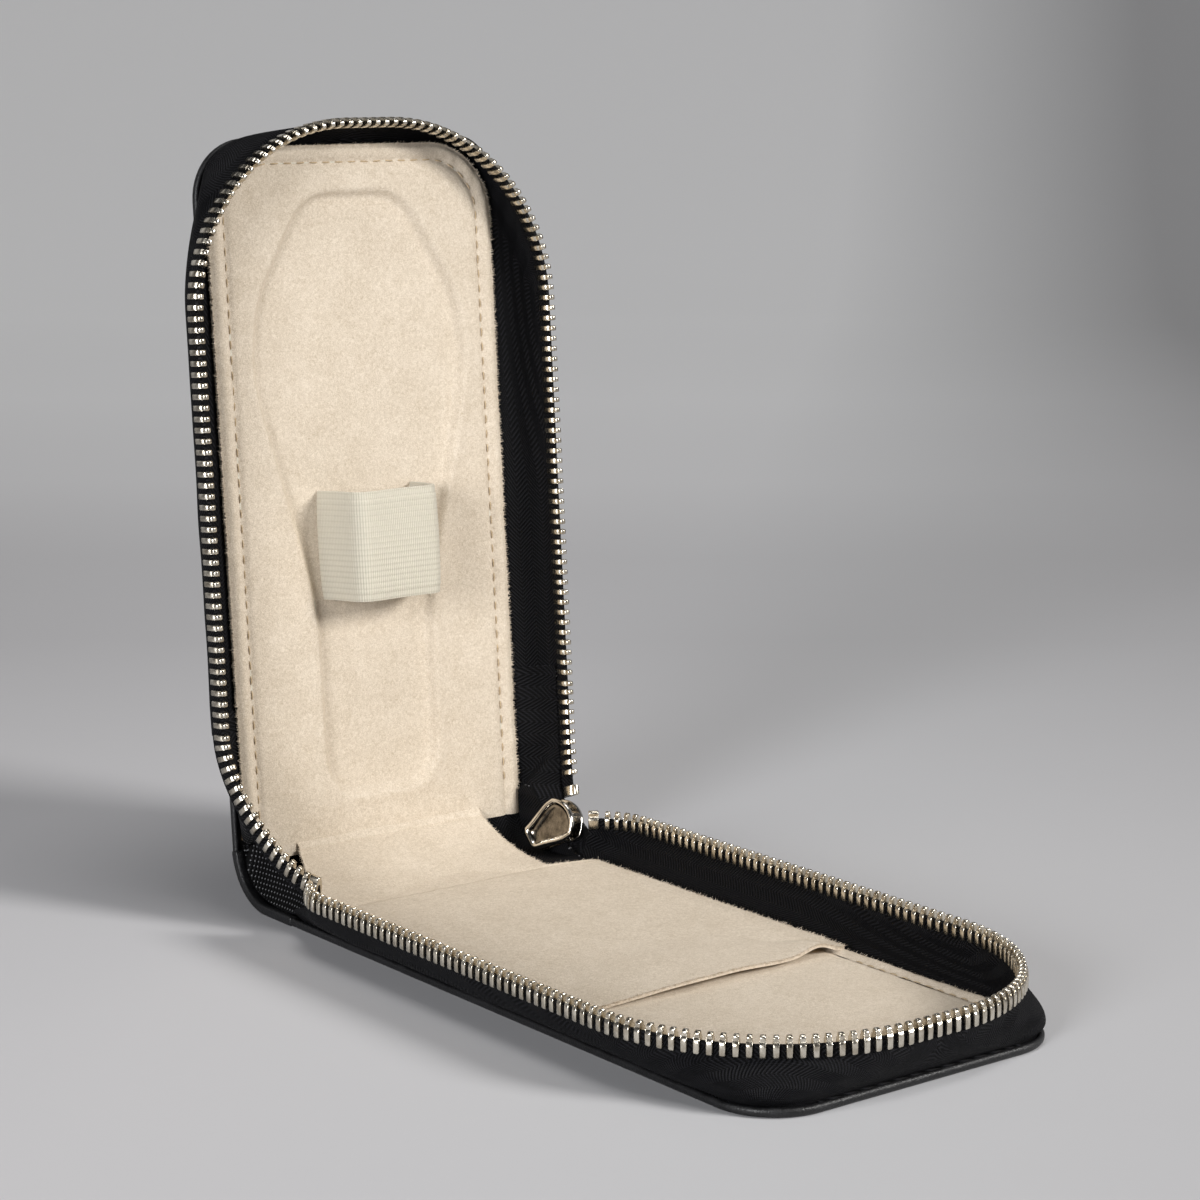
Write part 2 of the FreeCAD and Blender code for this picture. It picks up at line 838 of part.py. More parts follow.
def biggest(shape):
    return max(shape.Solids, key=lambda piece: piece.Volume)


def write(name, shape):
    if isinstance(shape, list):
        shape = Part.makeCompound(shape)
    shape.exportStep(os.path.join("parts", name + ".step"))


def main():
    os.makedirs("parts", exist_ok=True)
    base_left = zip_reach(zip_end_left, zip_end_turn)
    base_right = zip_reach(zip_end_right, zip_end_turn)
    base_bend = zip_reach(zip_end_right, 0)
    row_end = stop_length + tooth_thickness
    lid_left = zip_reach(zip_end_left, 0) - (lid_zip_start - zip_end_left) - tooth_thickness / 2
    lid_right = zip_reach(zip_end_right, 0) - (lid_zip_start - zip_end_right) - tooth_thickness / 2
    write("base_cover_leather", cover_leather())
    write("base_stiffener_board", stiffener_board())
    write("base_foam_pad", foam_pad())
    write("base_suede_lining", flat_lining())
    write("card_pocket", card_pocket())
    write("base_zip_tape", base_zip_tape())
    write("base_zip_teeth", tooth_row(0, row_end - base_left, base_bend))
    write("base_zip_stop_left", place_on_zip(tooth(stop_length), stop_length / 2 - base_left))
    write("base_zip_end_tape_right", base_end_tape())
    write("base_zip_end_teeth_right", tooth_row(0, base_bend, base_right - row_end))
    write("base_zip_stop_right", place_on_zip(tooth(stop_length), base_right - stop_length / 2))
    write("lid_cover_leather", as_lid(cover_leather()))
    write("lid_stiffener_board", as_lid(stiffener_board()))
    write("lid_foam_pad", as_lid(lid_foam()))
    write("lid_suede_lining", as_lid(lid_lining()))
    write("elastic_strap", as_lid(elastic_strap()))
    write("lid_zip_tape", as_lid(lid_zip_tape()))
    write("lid_zip_teeth", [as_lid(piece) for piece in tooth_row(row_shift, -lid_left, lid_right)])
    write("lid_zip_stops", lid_stops())
    for side, word in ((-1, "left"), (1, "right")):
        write("lid_zip_end_tape_" + word, loose_tape(side))
        write("lid_zip_end_teeth_" + word, loose_teeth(side))
    write("hinge_gusset_left", gusset(-1))
    write("hinge_gusset_right", biggest(gusset(1).cut(slider_room())))
    write("spine_leather", spine_leather())
    write("spine_suede_lining", spine_lining())
    write("zip_slider", slider_body())
    write("slider_bail", slider_bail())
    write("zip_puller", puller())


main()
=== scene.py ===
import json
import math
import random
import bmesh
import bpy
import numpy as np
from mathutils import Matrix, Vector, noise


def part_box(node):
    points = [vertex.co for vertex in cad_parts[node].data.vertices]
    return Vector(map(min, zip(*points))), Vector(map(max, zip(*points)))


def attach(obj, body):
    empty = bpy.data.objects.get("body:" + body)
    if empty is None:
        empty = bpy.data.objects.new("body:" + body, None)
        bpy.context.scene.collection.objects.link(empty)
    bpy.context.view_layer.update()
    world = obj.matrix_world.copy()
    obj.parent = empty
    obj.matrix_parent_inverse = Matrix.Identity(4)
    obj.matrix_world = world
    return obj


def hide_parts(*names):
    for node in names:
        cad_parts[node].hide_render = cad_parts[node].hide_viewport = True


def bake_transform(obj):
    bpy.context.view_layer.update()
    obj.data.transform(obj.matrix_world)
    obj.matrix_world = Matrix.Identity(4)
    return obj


# Zip-around travel case with a padded lid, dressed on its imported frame.
# Lengths are millimetres until a mesh is made, because the frame itself is in metres.
# A place in a half is (x, v, w): v runs from the hinge line to the far end, w from the outer face inward.

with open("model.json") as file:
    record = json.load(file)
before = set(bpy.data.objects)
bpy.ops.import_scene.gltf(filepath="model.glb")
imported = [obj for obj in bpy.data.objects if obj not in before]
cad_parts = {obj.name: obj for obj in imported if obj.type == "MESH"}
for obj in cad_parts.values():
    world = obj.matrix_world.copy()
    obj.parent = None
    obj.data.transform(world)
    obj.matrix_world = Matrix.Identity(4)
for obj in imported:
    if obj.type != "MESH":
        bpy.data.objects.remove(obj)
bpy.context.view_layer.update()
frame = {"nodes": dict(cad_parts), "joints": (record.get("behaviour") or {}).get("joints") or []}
mm = 0.001
seed = 7


def box_mm(node):
    low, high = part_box(node)
    return low / mm, high / mm


# Sizes read from the frame
joints = {joint["name"]: joint for joint in frame["joints"]}
hinge_y = joints["lid_fold"]["pos_m"][1] / mm
hinge_height = joints["lid_fold"]["pos_m"][2] / mm
open_angle = math.radians(-joints["lid_fold"]["range_deg"][0])
crease_gap = hinge_y - joints["spine_fold"]["pos_m"][1] / mm
cover_low, cover_high = box_mm("base_cover_leather")
panel_half = cover_high.x
panel_far = hinge_y - cover_low.y
rim_height = cover_high.z
lining_low, lining_high = box_mm("base_suede_lining")
lining_half = lining_high.x
lining_far = hinge_y - lining_low.y
layer_top = lining_low.z
lining_top = lining_high.z
tape_low, tape_high = box_mm("base_zip_tape")
zip_half = tape_high.x
zip_far = hinge_y - tape_low.y
tape_top = tape_high.z
strap_low_corner, strap_high_corner = box_mm("elastic_strap")

# Sizes shared with the solids
half_depth = 14.3
panel_corner = 14.0
leather = 1.0
lining_corner = 17.0
lining_thickness = 0.6
tape_thickness = 0.7
tape_inset = 1.7
tape_knee = 4.7
tape_foot_start = 8.0
zip_far_flat = 6.0
zip_end_radius = 16.0
zip_end_turn = {-1: math.radians(42.0), 1: math.radians(58.0)}
zip_start = {-1: 30.0, 1: 22.0}
lid_zip_start = 34.0
tooth_pitch = 2.47
tooth_thickness = 0.9
stop_length = 2.4
row_shift = 0.5
strap_width = 25.5
strap_thickness = 1.0
strap_half_foot = 13.0
strap_half_front = 11.5
strap_stand = 12.5
pocket_mouth = 104.0
pocket_half = 37.6
sheet_foot = 2.15


def base_point(x, v, w):
    return Vector((x, hinge_y - v, w))


def lid_point(x, v, w):
    up = 2 * half_depth - w - hinge_height
    y = -v * math.cos(open_angle) + up * math.sin(open_angle)
    z = up * math.cos(open_angle) + v * math.sin(open_angle)
    return Vector((x, hinge_y + y, hinge_height + z))


def lerp(a, b, t):
    return a + (b - a) * t


def smooth(t):
    t = min(1.0, max(0.0, t))
    return t * t * (3 - 2 * t)


def bezier(points, t):
    s = 1 - t
    return points[0] * s ** 3 + points[1] * 3 * s * s * t + points[2] * 3 * s * t * t + points[3] * t ** 3


def bezier_way(points, t):
    s = 1 - t
    first = (points[1] - points[0]) * s * s
    middle = (points[2] - points[1]) * 2 * s * t
    last = (points[3] - points[2]) * t * t
    return (first + middle + last).normalized()


def soft_noise(point, size):
    return noise.noise(point / size)


# Mesh makers

sharp_angle = math.radians(48)


def finish_mesh(obj):
    shape = bmesh.new()
    shape.from_mesh(obj.data)
    bmesh.ops.remove_doubles(shape, verts=shape.verts, dist=1e-7)
    bmesh.ops.recalc_face_normals(shape, faces=shape.faces)
    shape.to_mesh(obj.data)
    shape.free()
    obj.data.polygons.foreach_set("use_smooth", [True] * len(obj.data.polygons))
    obj.data.set_sharp_from_angle(angle=sharp_angle)
    return obj


def piece(name, points, faces, material):
    mesh = bpy.data.meshes.new(name)
    mesh.from_pydata([tuple(point * mm) for point in points], [], faces)
    mesh.materials.append(material)
    obj = bpy.data.objects.new(name, mesh)
    bpy.context.scene.collection.objects.link(obj)
    return obj


def merged(*parts):
    points, faces = [], []
    for more_points, more_faces in parts:
        faces += [tuple(i + len(points) for i in face) for face in more_faces]
        points += more_points
    return points, faces


# Faces of a grid of points, kept row after row; a ring also joins the end of each row to its start
def grid_faces(rows, columns, start=0, ring=False):
    faces = []
    for r in range(rows - 1):
        for c in range(columns if ring else columns - 1):
            a, b = start + r * columns + c, start + r * columns + (c + 1) % columns
            faces.append((a, b, b + columns, a + columns))
    return faces


# Splits a grid of tuples into one grid for each of their entries
def layers(grid):
    return [[[cell[k] for cell in row] for row in grid] for k in range(len(grid[0][0]))]


# Closed sheet between two grids of points. Weave holds each grid point's distance along and across the cloth,
# extra is a mesh that joins the piece, and under is the finish of the bottom.
def thick_sheet(name, top, bottom, material, weave=None, extra=None, under=None):
    rows, columns = len(top), len(top[0])
    count = rows * columns
    points = [point for grid in (top, bottom) for row in grid for point in row]
    upper = grid_faces(rows, columns)
    faces = upper + [tuple(i + count for i in reversed(face)) for face in upper]
    edges = [[r * columns + c for r in range(rows)] for c in (0, columns - 1)]
    edges += [[r * columns + c for c in range(columns)] for r in (0, rows - 1)]
    faces += [(a, b, b + count, a + count) for edge in edges for a, b in zip(edge, edge[1:])]
    if extra:
        points, faces = merged((points, faces), extra)
    obj = piece(name, points, faces, material)
    if under:
        obj.data.materials.append(under)
        for index in range(len(upper), 2 * len(upper)):
            obj.data.polygons[index].material_index = 1
    if weave:
        flat = [place for row in weave for place in row]
        layer = obj.data.uv_layers.new(name="weave")
        for loop in obj.data.loops:
            if loop.vertex_index < 2 * count:
                layer.data[loop.index].uv = flat[loop.vertex_index % count]
    return finish_mesh(obj)


# Lifts a grid by an amount along its own normals
def lifted(rows, amount):
    grid = np.array([[tuple(point) for point in row] for row in rows])
    normal = np.cross(np.gradient(grid, axis=0), np.gradient(grid, axis=1))
    normal /= np.maximum(np.linalg.norm(normal, axis=2, keepdims=True), 1e-12)
    return [[Vector(point) for point in row] for row in grid + normal * amount]


def even(start, end, step):
    count = max(2, int(round(abs(end - start) / step)))
    return [lerp(start, end, i / count) for i in range(count + 1)]


# Places round a quarter turn that starts along the second axis, without its first place
def quarter(x, y, radius, steps):
    angles = [math.pi / 2 * step / steps for step in range(1, steps + 1)]
    return [(x + radius * (1 - math.cos(angle)), y + radius * math.sin(angle)) for angle in angles]


# A line of places from its other end, on the other side
def mirrored(line):
    return [(-x, y) for x, y in reversed(line)]


def add_bevel(obj, width, segments=3):
    bevel = obj.modifiers.new("edge", "BEVEL")
    bevel.width = width * mm
    bevel.segments = segments
    bevel.limit_method = "ANGLE"
    bevel.angle_limit = sharp_angle
    return obj


# Fine fibres along a cut suede edge, as thin cones rooted in it
def edge_fibres(line, outward, draw):
    per_mm, scatter, radius = 8.0, 0.5, 0.07
    shortest, longest = 0.3, 1.0
    points, faces = [], []
    for (a, b), way in zip(zip(line, line[1:]), outward):
        for _ in range(int((b - a).length * per_mm + draw.random())):
            root = lerp(a, b, draw.random())
            lean = Vector((draw.gauss(0, 1), draw.gauss(0, 1), draw.gauss(0, 1)))
            tip = root + (way + lean * scatter).normalized() * draw.uniform(shortest, longest)
            side = (tip - root).cross(lean).normalized() * radius
            other = (tip - root).cross(side).normalized() * radius
            start = len(points)
            points += [root + side, root - side * 0.5 + other, root - side * 0.5 - other, tip]
            faces += [(start, start + 2, start + 1), (start, start + 1, start + 3),
                      (start + 1, start + 2, start + 3), (start + 2, start, start + 3)]
    return points, faces


# Materials

def rgb(red, green, blue):
    def linear(value):
        share = value / 255
        return share / 12.92 if share <= 0.04045 else ((share + 0.055) / 1.055) ** 2.4
    return (linear(red), linear(green), linear(blue), 1.0)


noise_range = (0.3, 0.7)


class Finish:
    """A node material: a principled shader with helpers that add nodes to it."""

    def __init__(self, name, **sockets):
        self.material = bpy.data.materials.new(name)
        self.material.use_nodes = True
        self.tree = self.material.node_tree
        self.shader = self.tree.nodes["Principled BSDF"]
        for socket, value in sockets.items():
            self.shader.inputs[socket.replace("_", " ")].default_value = value

    def add(self, kind, settings=None, **values):
        node = self.tree.nodes.new(kind)
        for name, value in (settings or {}).items():
            setattr(node, name, value)
        for name, value in values.items():
            self.put(node.inputs[int(name[1:]) if name[1:].isdigit() else name], value)
        return node

    def put(self, socket, value):
        if isinstance(value, bpy.types.NodeSocket):
            self.tree.links.new(value, socket)
        else:
            socket.default_value = value

    def math(self, operation, first, second=0.0, third=0.0):
        node = self.add("ShaderNodeMath", {"operation": operation}, _0=first, _1=second, _2=third)
        return node.outputs[0]

    # Sum of values, each times its weight
    def total(self, *parts):
        products = [self.math("MULTIPLY", value, weight) for value, weight in parts]
        result = products[0]
        for product in products[1:]:
            result = self.math("ADD", result, product)
        return result

    # Rises from 0 to 1 over a span, and falls back over the next
    def zigzag(self, value, span):
        return self.math("DIVIDE", self.math("PINGPONG", value, span), span)

    def place(self):
        return self.add("ShaderNodeTexCoord").outputs["Object"]

    def weave_place(self):
        uv = self.add("ShaderNodeUVMap", {"uv_map": "weave"}).outputs[0]
        parts = self.add("ShaderNodeSeparateXYZ", _0=uv)
        return parts.outputs[0], parts.outputs[1]

    def grain(self, size, detail=3.0, rough=0.6, stretch=(1, 1, 1)):
        place = self.add("ShaderNodeMapping", Vector=self.place(), Scale=stretch).outputs[0]
        return self.add("ShaderNodeTexNoise", Vector=place, Scale=1 / (size * mm), Detail=detail,
                        Roughness=rough).outputs[0]

    def cells(self, size):
        node = self.add("ShaderNodeTexVoronoi", {"feature": "DISTANCE_TO_EDGE"}, Vector=self.place(),
                        Scale=1 / (size * mm))
        return node.outputs[0]

    def ramp(self, factor, stops):
        node = self.add("ShaderNodeValToRGB", Fac=factor)
        ends = node.color_ramp.elements
        while len(ends) < len(stops):
            ends.new(0.5)
        for end, (position, colour) in zip(ends, stops):
            end.position = position
            end.color = colour
        return node.outputs[0]

    def spread(self, value, low, high, to_low, to_high):
        node = self.add("ShaderNodeMapRange", _0=value, _1=low, _2=high, _3=to_low, _4=to_high)
        return node.outputs[0]

    def colour(self, socket):
        self.tree.links.new(socket, self.shader.inputs["Base Color"])

    # Roughness between two ends as a noise goes through its middle range
    def roughness(self, value, low, high, span=noise_range):
        self.tree.links.new(self.spread(value, *span, low, high), self.shader.inputs["Roughness"])

    def bump(self, height, depth, strength=1.0):
        node = self.add("ShaderNodeBump", Height=height, Distance=depth * mm, Strength=strength)
        self.tree.links.new(node.outputs[0], self.shader.inputs["Normal"])


def grey(value):
    return (value, value, value, 1.0)


# Napped suede: brushed patches, short fibres and a soft sheen
def suede_finish(name, light, dark):
    finish = Finish(name, Sheen_Weight=0.25, Sheen_Roughness=0.45, Sheen_Tint=light, Specular_IOR_Level=0.12)
    brushed = finish.grain(9.0, 4.0, 0.65)
    nap = finish.grain(0.9, 4.0, 0.7)
    fibre = finish.grain(0.28, 2.0, 0.6)
    tone = finish.total((brushed, 0.16), (nap, 0.34), (fibre, 0.5))
    finish.colour(finish.ramp(tone, [(0.36, dark), (0.62, light)]))
    finish.roughness(nap, 0.86, 0.98)
    finish.bump(finish.total((nap, 0.6), (fibre, 0.4)), 0.32, 0.55)
    return finish.material


# Fine pebbled leather with a soft gloss
def leather_finish(name):
    finish = Finish(name, Specular_IOR_Level=0.45, Coat_Weight=0.06, Coat_Roughness=0.4)
    pebble = finish.cells(0.85)
    crease = finish.grain(3.2, 5.0, 0.6)
    pore = finish.grain(0.3, 2.0)
    finish.colour(finish.ramp(crease, [(0.35, rgb(12, 12, 13)), (0.7, rgb(25, 25, 27))]))
    finish.roughness(crease, 0.42, 0.58, span=(0.35, 0.7))
    dome = finish.math("SMOOTH_MIN", pebble, 0.25, 0.1)
    finish.bump(finish.total((dome, 2.0), (pore, 0.3), (crease, 0.8)), 0.14, 0.6)
    return finish.material


# Woven zip tape: twill lines that turn back on themselves in bands
def tape_finish(name, band, pitch):
    finish = Finish(name, Specular_IOR_Level=0.12)
    along, across = finish.weave_place()
    folded = finish.math("PINGPONG", across, band)
    slant = finish.math("ADD", along, folded)
    thread = finish.total((finish.zigzag(slant, pitch / 2), 0.75), (finish.zigzag(across, pitch / 4), 0.25))
    fuzz = finish.grain(0.5, 3.0)
    shade = finish.math("MULTIPLY", thread, finish.spread(fuzz, *noise_range, 0.6, 1.0))
    finish.colour(finish.ramp(shade, [(0.3, rgb(3, 3, 4)), (0.95, rgb(38, 38, 42))]))
    finish.roughness(fuzz, 0.55, 0.8)
    finish.bump(finish.math("ADD", thread, finish.math("MULTIPLY", fuzz, 0.35)), 0.3, 0.9)
    return finish.material


# Open plain weave of the gussets: near-black cloth, its own black deepened as painted shade of the hinge
# recess, with a painted glint on the crossings
def gusset_finish(name, pitch):
    finish = Finish(name, Specular_IOR_Level=0.1)
    along, across = finish.weave_place()
    warp, weft = finish.zigzag(along, pitch / 2), finish.zigzag(across, pitch / 2)
    fuzz = finish.grain(0.6, 3.0)
    knot = finish.math("ADD", finish.math("MULTIPLY", warp, weft), finish.math("MULTIPLY", fuzz, 0.2))
    # Dark stops: black cloth plus painted shade; bright stop at the crossings: painted glint
    finish.colour(finish.ramp(knot, [(0.1, rgb(3, 3, 3)), (0.62, rgb(9, 9, 10)), (0.92, rgb(118, 118, 120))]))
    finish.roughness(fuzz, 0.5, 0.75)
    finish.bump(finish.math("MAXIMUM", warp, weft), 0.25, 0.8)
    return finish.material


# Ivory elastic webbing: cross threads between the raised cords
def elastic_finish(name):
    finish = Finish(name, Specular_IOR_Level=0.3, Sheen_Weight=0.15, Sheen_Roughness=0.5)
    along, across = finish.weave_place()
    thread, cord = finish.zigzag(along, 0.26), finish.zigzag(across, 0.65)
    fuzz = finish.grain(0.5, 3.0)
    gaps = finish.spread(thread, 0.0, 0.6, 0.35, 1.0)
    shade = finish.math("MULTIPLY", gaps, finish.spread(cord, 0.0, 0.5, 0.5, 1.0))
    shade = finish.math("MULTIPLY", shade, finish.spread(fuzz, *noise_range, 0.8, 1.0))
    finish.colour(finish.ramp(shade, [(0.1, rgb(182, 175, 157)), (0.8, rgb(206, 200, 184))]))
    finish.roughness(fuzz, 0.7, 0.9)
    finish.bump(finish.math("ADD", thread, finish.math("MULTIPLY", fuzz, 0.4)), 0.16, 0.7)
    return finish.material


# Plated metal with light tarnish and fine scratches; the dish's copy gets dark colours as painted shade and
# painted reflection
def metal_finish(name, clean, tarnish_and_painted_dark, smoothest, roughest):
    finish = Finish(name, Metallic=1.0)
    stain = finish.grain(2.6, 4.0)
    scratch = finish.grain(0.35, 3.0, 0.6, (1, 1, 0.12))
    finish.colour(finish.ramp(stain, [(0.3, tarnish_and_painted_dark), (0.62, clean)]))
    finish.roughness(scratch, smoothest, roughest)
    finish.bump(scratch, 0.03, 0.4)
    return finish.material


# Sewing thread, with its two strands showing as slanted lines
def thread_finish(name, light, dark):
    finish = Finish(name, Specular_IOR_Level=0.25, Sheen_Weight=0.15)
    twist = finish.grain(0.22, 2.0, 0.5, (1, 1, 3))
    finish.colour(finish.ramp(twist, [(0.3, dark), (0.7, light)]))
    finish.roughness(twist, 0.7, 0.9)
    finish.bump(twist, 0.08, 0.6)
    return finish.material


# Fibrous board and open foam, seen only where the layers are parted
def core_finish(name, light, dark, size):
    finish = Finish(name, Specular_IOR_Level=0.2)
    speck = finish.grain(size, 5.0, 0.7)
    finish.colour(finish.ramp(speck, [(0.3, dark), (0.7, light)]))
    finish.roughness(speck, 0.8, 0.95)
    finish.bump(speck, size * 0.2, 0.5)
    return finish.material


suede = suede_finish("suede", rgb(221, 209, 192), rgb(184, 169, 148))
black_leather = leather_finish("black_leather")
zip_tape = tape_finish("zip_tape", 2.9, 0.95)
gusset_cloth = gusset_finish("gusset_cloth", 1.1)
elastic = elastic_finish("elastic")
zip_metal = metal_finish("zip_metal", rgb(232, 225, 210), rgb(176, 165, 146), 0.18, 0.34)
# Inside of the slider's dish: colours painted dark as painted reflection of a dark surround and painted shade
# in the hollow
painted_dark_dish_metal = metal_finish("painted_dark_dish_metal", rgb(150, 142, 130), rgb(58, 52, 46), 0.1, 0.22)
slider_metal = metal_finish("slider_metal", rgb(236, 232, 224), rgb(205, 198, 186), 0.08, 0.18)
suede_thread = thread_finish("suede_thread", rgb(202, 181, 150), rgb(164, 142, 111))
board_finish = core_finish("board", rgb(140, 122, 98), rgb(98, 84, 66), 0.8)
foam_finish = core_finish("foam", rgb(226, 221, 206), rgb(186, 180, 164), 0.5)


# Leather covers and spine

cover_side_steps = 48
cover_corner_steps = 14
cover_far_steps = 30


# Panel edge at an inset, from the left hinge corner round the far end to the right hinge corner
def panel_ring(inset, rear):
    half = panel_half - inset
    far = panel_far - inset
    corner = panel_corner - inset
    left = [(-half, v) for v in np.linspace(rear, far - corner, cover_side_steps + 1)]
    left += quarter(-half, far - corner, corner, cover_corner_steps)
    middle = [(x, far) for x in np.linspace(corner - half, half - corner, cover_far_steps + 1)[1:-1]]
    return left + middle + mirrored(left)


# Rows of points from side to side that fill a ring
def ring_rows(ring):
    last = cover_side_steps + cover_corner_steps
    rows = []
    for i in range(last):
        rows.append([lerp(ring[i], ring[-1 - i], c / cover_far_steps) for c in range(cover_far_steps + 1)])
    rows.append(ring[last:last + cover_far_steps + 1])
    return rows


# Cover of one half: a flat panel with its leather turned over at the free edges
def leather_cover(name, place, body, node):
    turned_edge = [(1.25, leather), (1.2, 1.6), (1.0, 1.9), (0.65, rim_height), (0.3, 1.9), (0.05, 1.55),
                   (0.0, 1.1), (0.12, 0.6), (0.45, 0.2), (1.0, 0.04), (1.8, 0.0)]
    rings = [[place(x, v, w) for x, v in panel_ring(inset, crease_gap)] for inset, w in turned_edge]
    size = len(rings[0])
    points = [point for ring in rings for point in ring]
    faces = grid_faces(len(rings), size)
    width = cover_far_steps + 1
    ends = []
    for ring in (rings[0], rings[-1]):
        start = len(points)
        rows = ring_rows(ring)
        points += [point for row in rows for point in row]
        faces += grid_faces(len(rows), width, start)
        ends.append([start + c for c in range(width)])
    left = [k * size for k in range(len(rings))]
    right = [k * size + size - 1 for k in range(len(rings))]
    faces.append(tuple(left + ends[1][1:-1] + right[::-1] + ends[0][1:-1][::-1]))
    obj = finish_mesh(piece(name, points, faces, black_leather))
    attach(obj, body)
    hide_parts(node)


# Spine: flat on the ground from the base's crease, then round up to the lid's crease, with turned side edges
def spine_leather():
    thickness = 1.2
    flat_run = 11.2
    turned_start, turned_run, turned_extra = 37.5, 2.0, 1.0
    low = base_point(0, crease_gap, thickness / 2)
    high = lid_point(0, crease_gap, thickness / 2)
    bend = low + Vector((0, flat_run, 0))
    across, rise = high.y - bend.y, high.z - bend.z
    radius = (across * across + rise * rise) / (2 * rise)
    turn = math.atan2(across, radius - rise)
    centre = bend + Vector((0, 0, radius))
    line = [(lerp(low, bend, t), Vector((0, 0, 1))) for t in np.linspace(0, 1, 15)]
    for angle in np.linspace(0, turn, 25)[1:]:
        inward = Vector((0, -math.sin(angle), math.cos(angle)))
        line.append((centre - inward * radius, inward))
    grid = []
    for point, inward in line:
        row = []
        for x in even(-panel_half, panel_half, 1.0):
            extra = turned_extra * smooth((abs(x) - turned_start) / turned_run)
            at = point + Vector((x, 0, 0))
            row.append((at - inward * (thickness / 2), at + inward * (thickness / 2 + extra)))
        grid.append(row)
    obj = add_bevel(thick_sheet("spine_leather_strip", *layers(grid), black_leather), 0.5)
    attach(obj, "spine")
    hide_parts("spine_leather")


# Suede linings

lining_step = 0.7
lining_columns = 112
stitch_inset = 4.0


def lining_half_at(v):
    beyond = v - (lining_far - lining_corner)
    if beyond <= 0:
        return lining_half
    return lining_half - lining_corner + math.sqrt(max(0.0, lining_corner ** 2 - beyond ** 2))


def lining_rows(rear):
    straight_end = lining_far - lining_corner
    return even(rear, straight_end, lining_step) + [v for _, v in quarter(0, straight_end, lining_corner, 36)]


# Distance from a place in the lining to its nearest free edge
def edge_distance(x, v):
    side = abs(x) - (lining_half - lining_corner)
    beyond = v - (lining_far - lining_corner)
    if side > 0 and beyond > 0:
        return lining_corner - math.hypot(side, beyond)
    return min(lining_half - abs(x), lining_far - v)


# Outline of the hollow pressed into the lid, with its corners cut round
def recess_outline():
    top = panel_far - 13.2
    cuts = (0.15, 0.85)
    right = [(13.5, top), (27.5, top - 24.0), (29.5, top - 42.0), (15.5, top - 95.0), (15.5, 14.0)]
    outline = right + mirrored(right)
    for _ in range(3):
        sides = list(zip(outline, outline[1:] + outline[:1]))
        outline = [(lerp(a[0], b[0], cut), lerp(a[1], b[1], cut)) for a, b in sides for cut in cuts]
    return np.array(outline)


# Signed distance of each place to a closed outline, negative inside
def outline_distance(places, outline):
    nearest = np.full(len(places), 1e9)
    inside = np.zeros(len(places), bool)
    for a, b in zip(outline, np.roll(outline, -1, axis=0)):
        way = b - a
        t = np.clip(((places - a) @ way) / (way @ way), 0, 1)
        nearest = np.minimum(nearest, np.linalg.norm(places - a - t[:, None] * way, axis=1))
        crosses = (a[1] > places[:, 1]) != (b[1] > places[:, 1])
        reach = a[0] + (places[:, 1] - a[1]) * way[0] / (way[1] if way[1] else 1e-9)
        inside ^= crosses & (places[:, 0] < reach)
    return np.where(inside, -nearest, nearest)


# Height of the sewn and padded surface above its flat level
def sewn_height(x, v, place, stitched):
    groove_depth, groove_half = 0.6, 0.75
    roll_depth, roll_width = 0.45, 1.3
    swell_rise, swell_from, swell_run = 0.32, 1.5, 2.2
    pucker_rise, pucker_more, pucker_size, pucker_from = 0.16, 0.2, 2.4, 2.6
    corner_run = 6
    distance = edge_distance(x, v)
    groove = groove_depth * math.exp(-((distance - stitch_inset) / groove_half) ** 2)
    roll = roll_depth * (1 - smooth(distance / roll_width))
    swell = swell_rise * smooth(distance / swell_from) * (1 - smooth((distance - swell_from) / swell_run))
    cornered = smooth((abs(x) - lining_half + lining_corner) / corner_run)
    cornered *= smooth((v - lining_far + lining_corner) / corner_run)
    pucker = (pucker_rise + pucker_more * cornered) * soft_noise(place, pucker_size)
    pucker *= math.exp(-((distance - pucker_from) / pucker_size) ** 2)
    wave = 0.2 * soft_noise(place, 16.0) + 0.07 * soft_noise(place, 5.0)
    return wave + pucker - roll + (swell - groove if stitched else 0.0)


# Uneven cut of a suede edge
def frayed(spot):
    return 0.22 * soft_noise(spot, 0.9)


# Fibres along both sides and the last row of a grid of points
def suede_edge(rows, draw):
    ways = [(row[-1] - row[0]).normalized() for row in rows[:-1]]
    lengthwise = (rows[-1][0] - rows[-4][0]).normalized()
    return merged(edge_fibres([row[0] for row in rows], [-way for way in ways], draw),
                  edge_fibres([row[-1] for row in rows], ways, draw),
                  edge_fibres(rows[-1], [lengthwise] * (len(rows[-1]) - 1), draw))


# Lid lining over the foam, pressed into the hollow and drawn in at the left of the hinge
def lid_lining():
    rear = 2.2
    depth, slope = 1.7, 2.1
    lip, lip_width = 0.25, 1.6
    drawn_in, drawn_from, drawn_run = 4.0, 2.0, 14.0
    rows = []
    for v in lining_rows(rear):
        half = lining_half_at(v)
        left = drawn_in * (1 - smooth((v - drawn_from) / drawn_run)) - half
        rows.append([(x, v) for x in np.linspace(left, half, lining_columns + 1)])
    signed = outline_distance(np.array([place for row in rows for place in row]), recess_outline())
    grid = []
    for row, distances in zip(rows, signed.reshape(len(rows), -1)):
        cells = []
        for c, ((x, v), d) in enumerate(zip(row, distances)):
            pressed = depth * smooth(0.5 - d / slope)
            raised = lip * math.exp(-((d - slope * 0.6) / lip_width) ** 2)
            spot = Vector((x, v, 0))
            w = lining_top - pressed + raised + sewn_height(x, v, spot, True)
            x += frayed(spot) if c in (0, lining_columns) else 0.0
            cells.append((lid_point(x, v, w), lid_point(x, v, min(layer_top, w - lining_thickness))))
        grid.append(cells)
    top, bottom = layers(grid)
    obj = thick_sheet("lid_lining_padded", top, bottom, suede, extra=suede_edge(top, random.Random(seed)))
    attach(obj, "lid")
    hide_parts("lid_suede_lining")


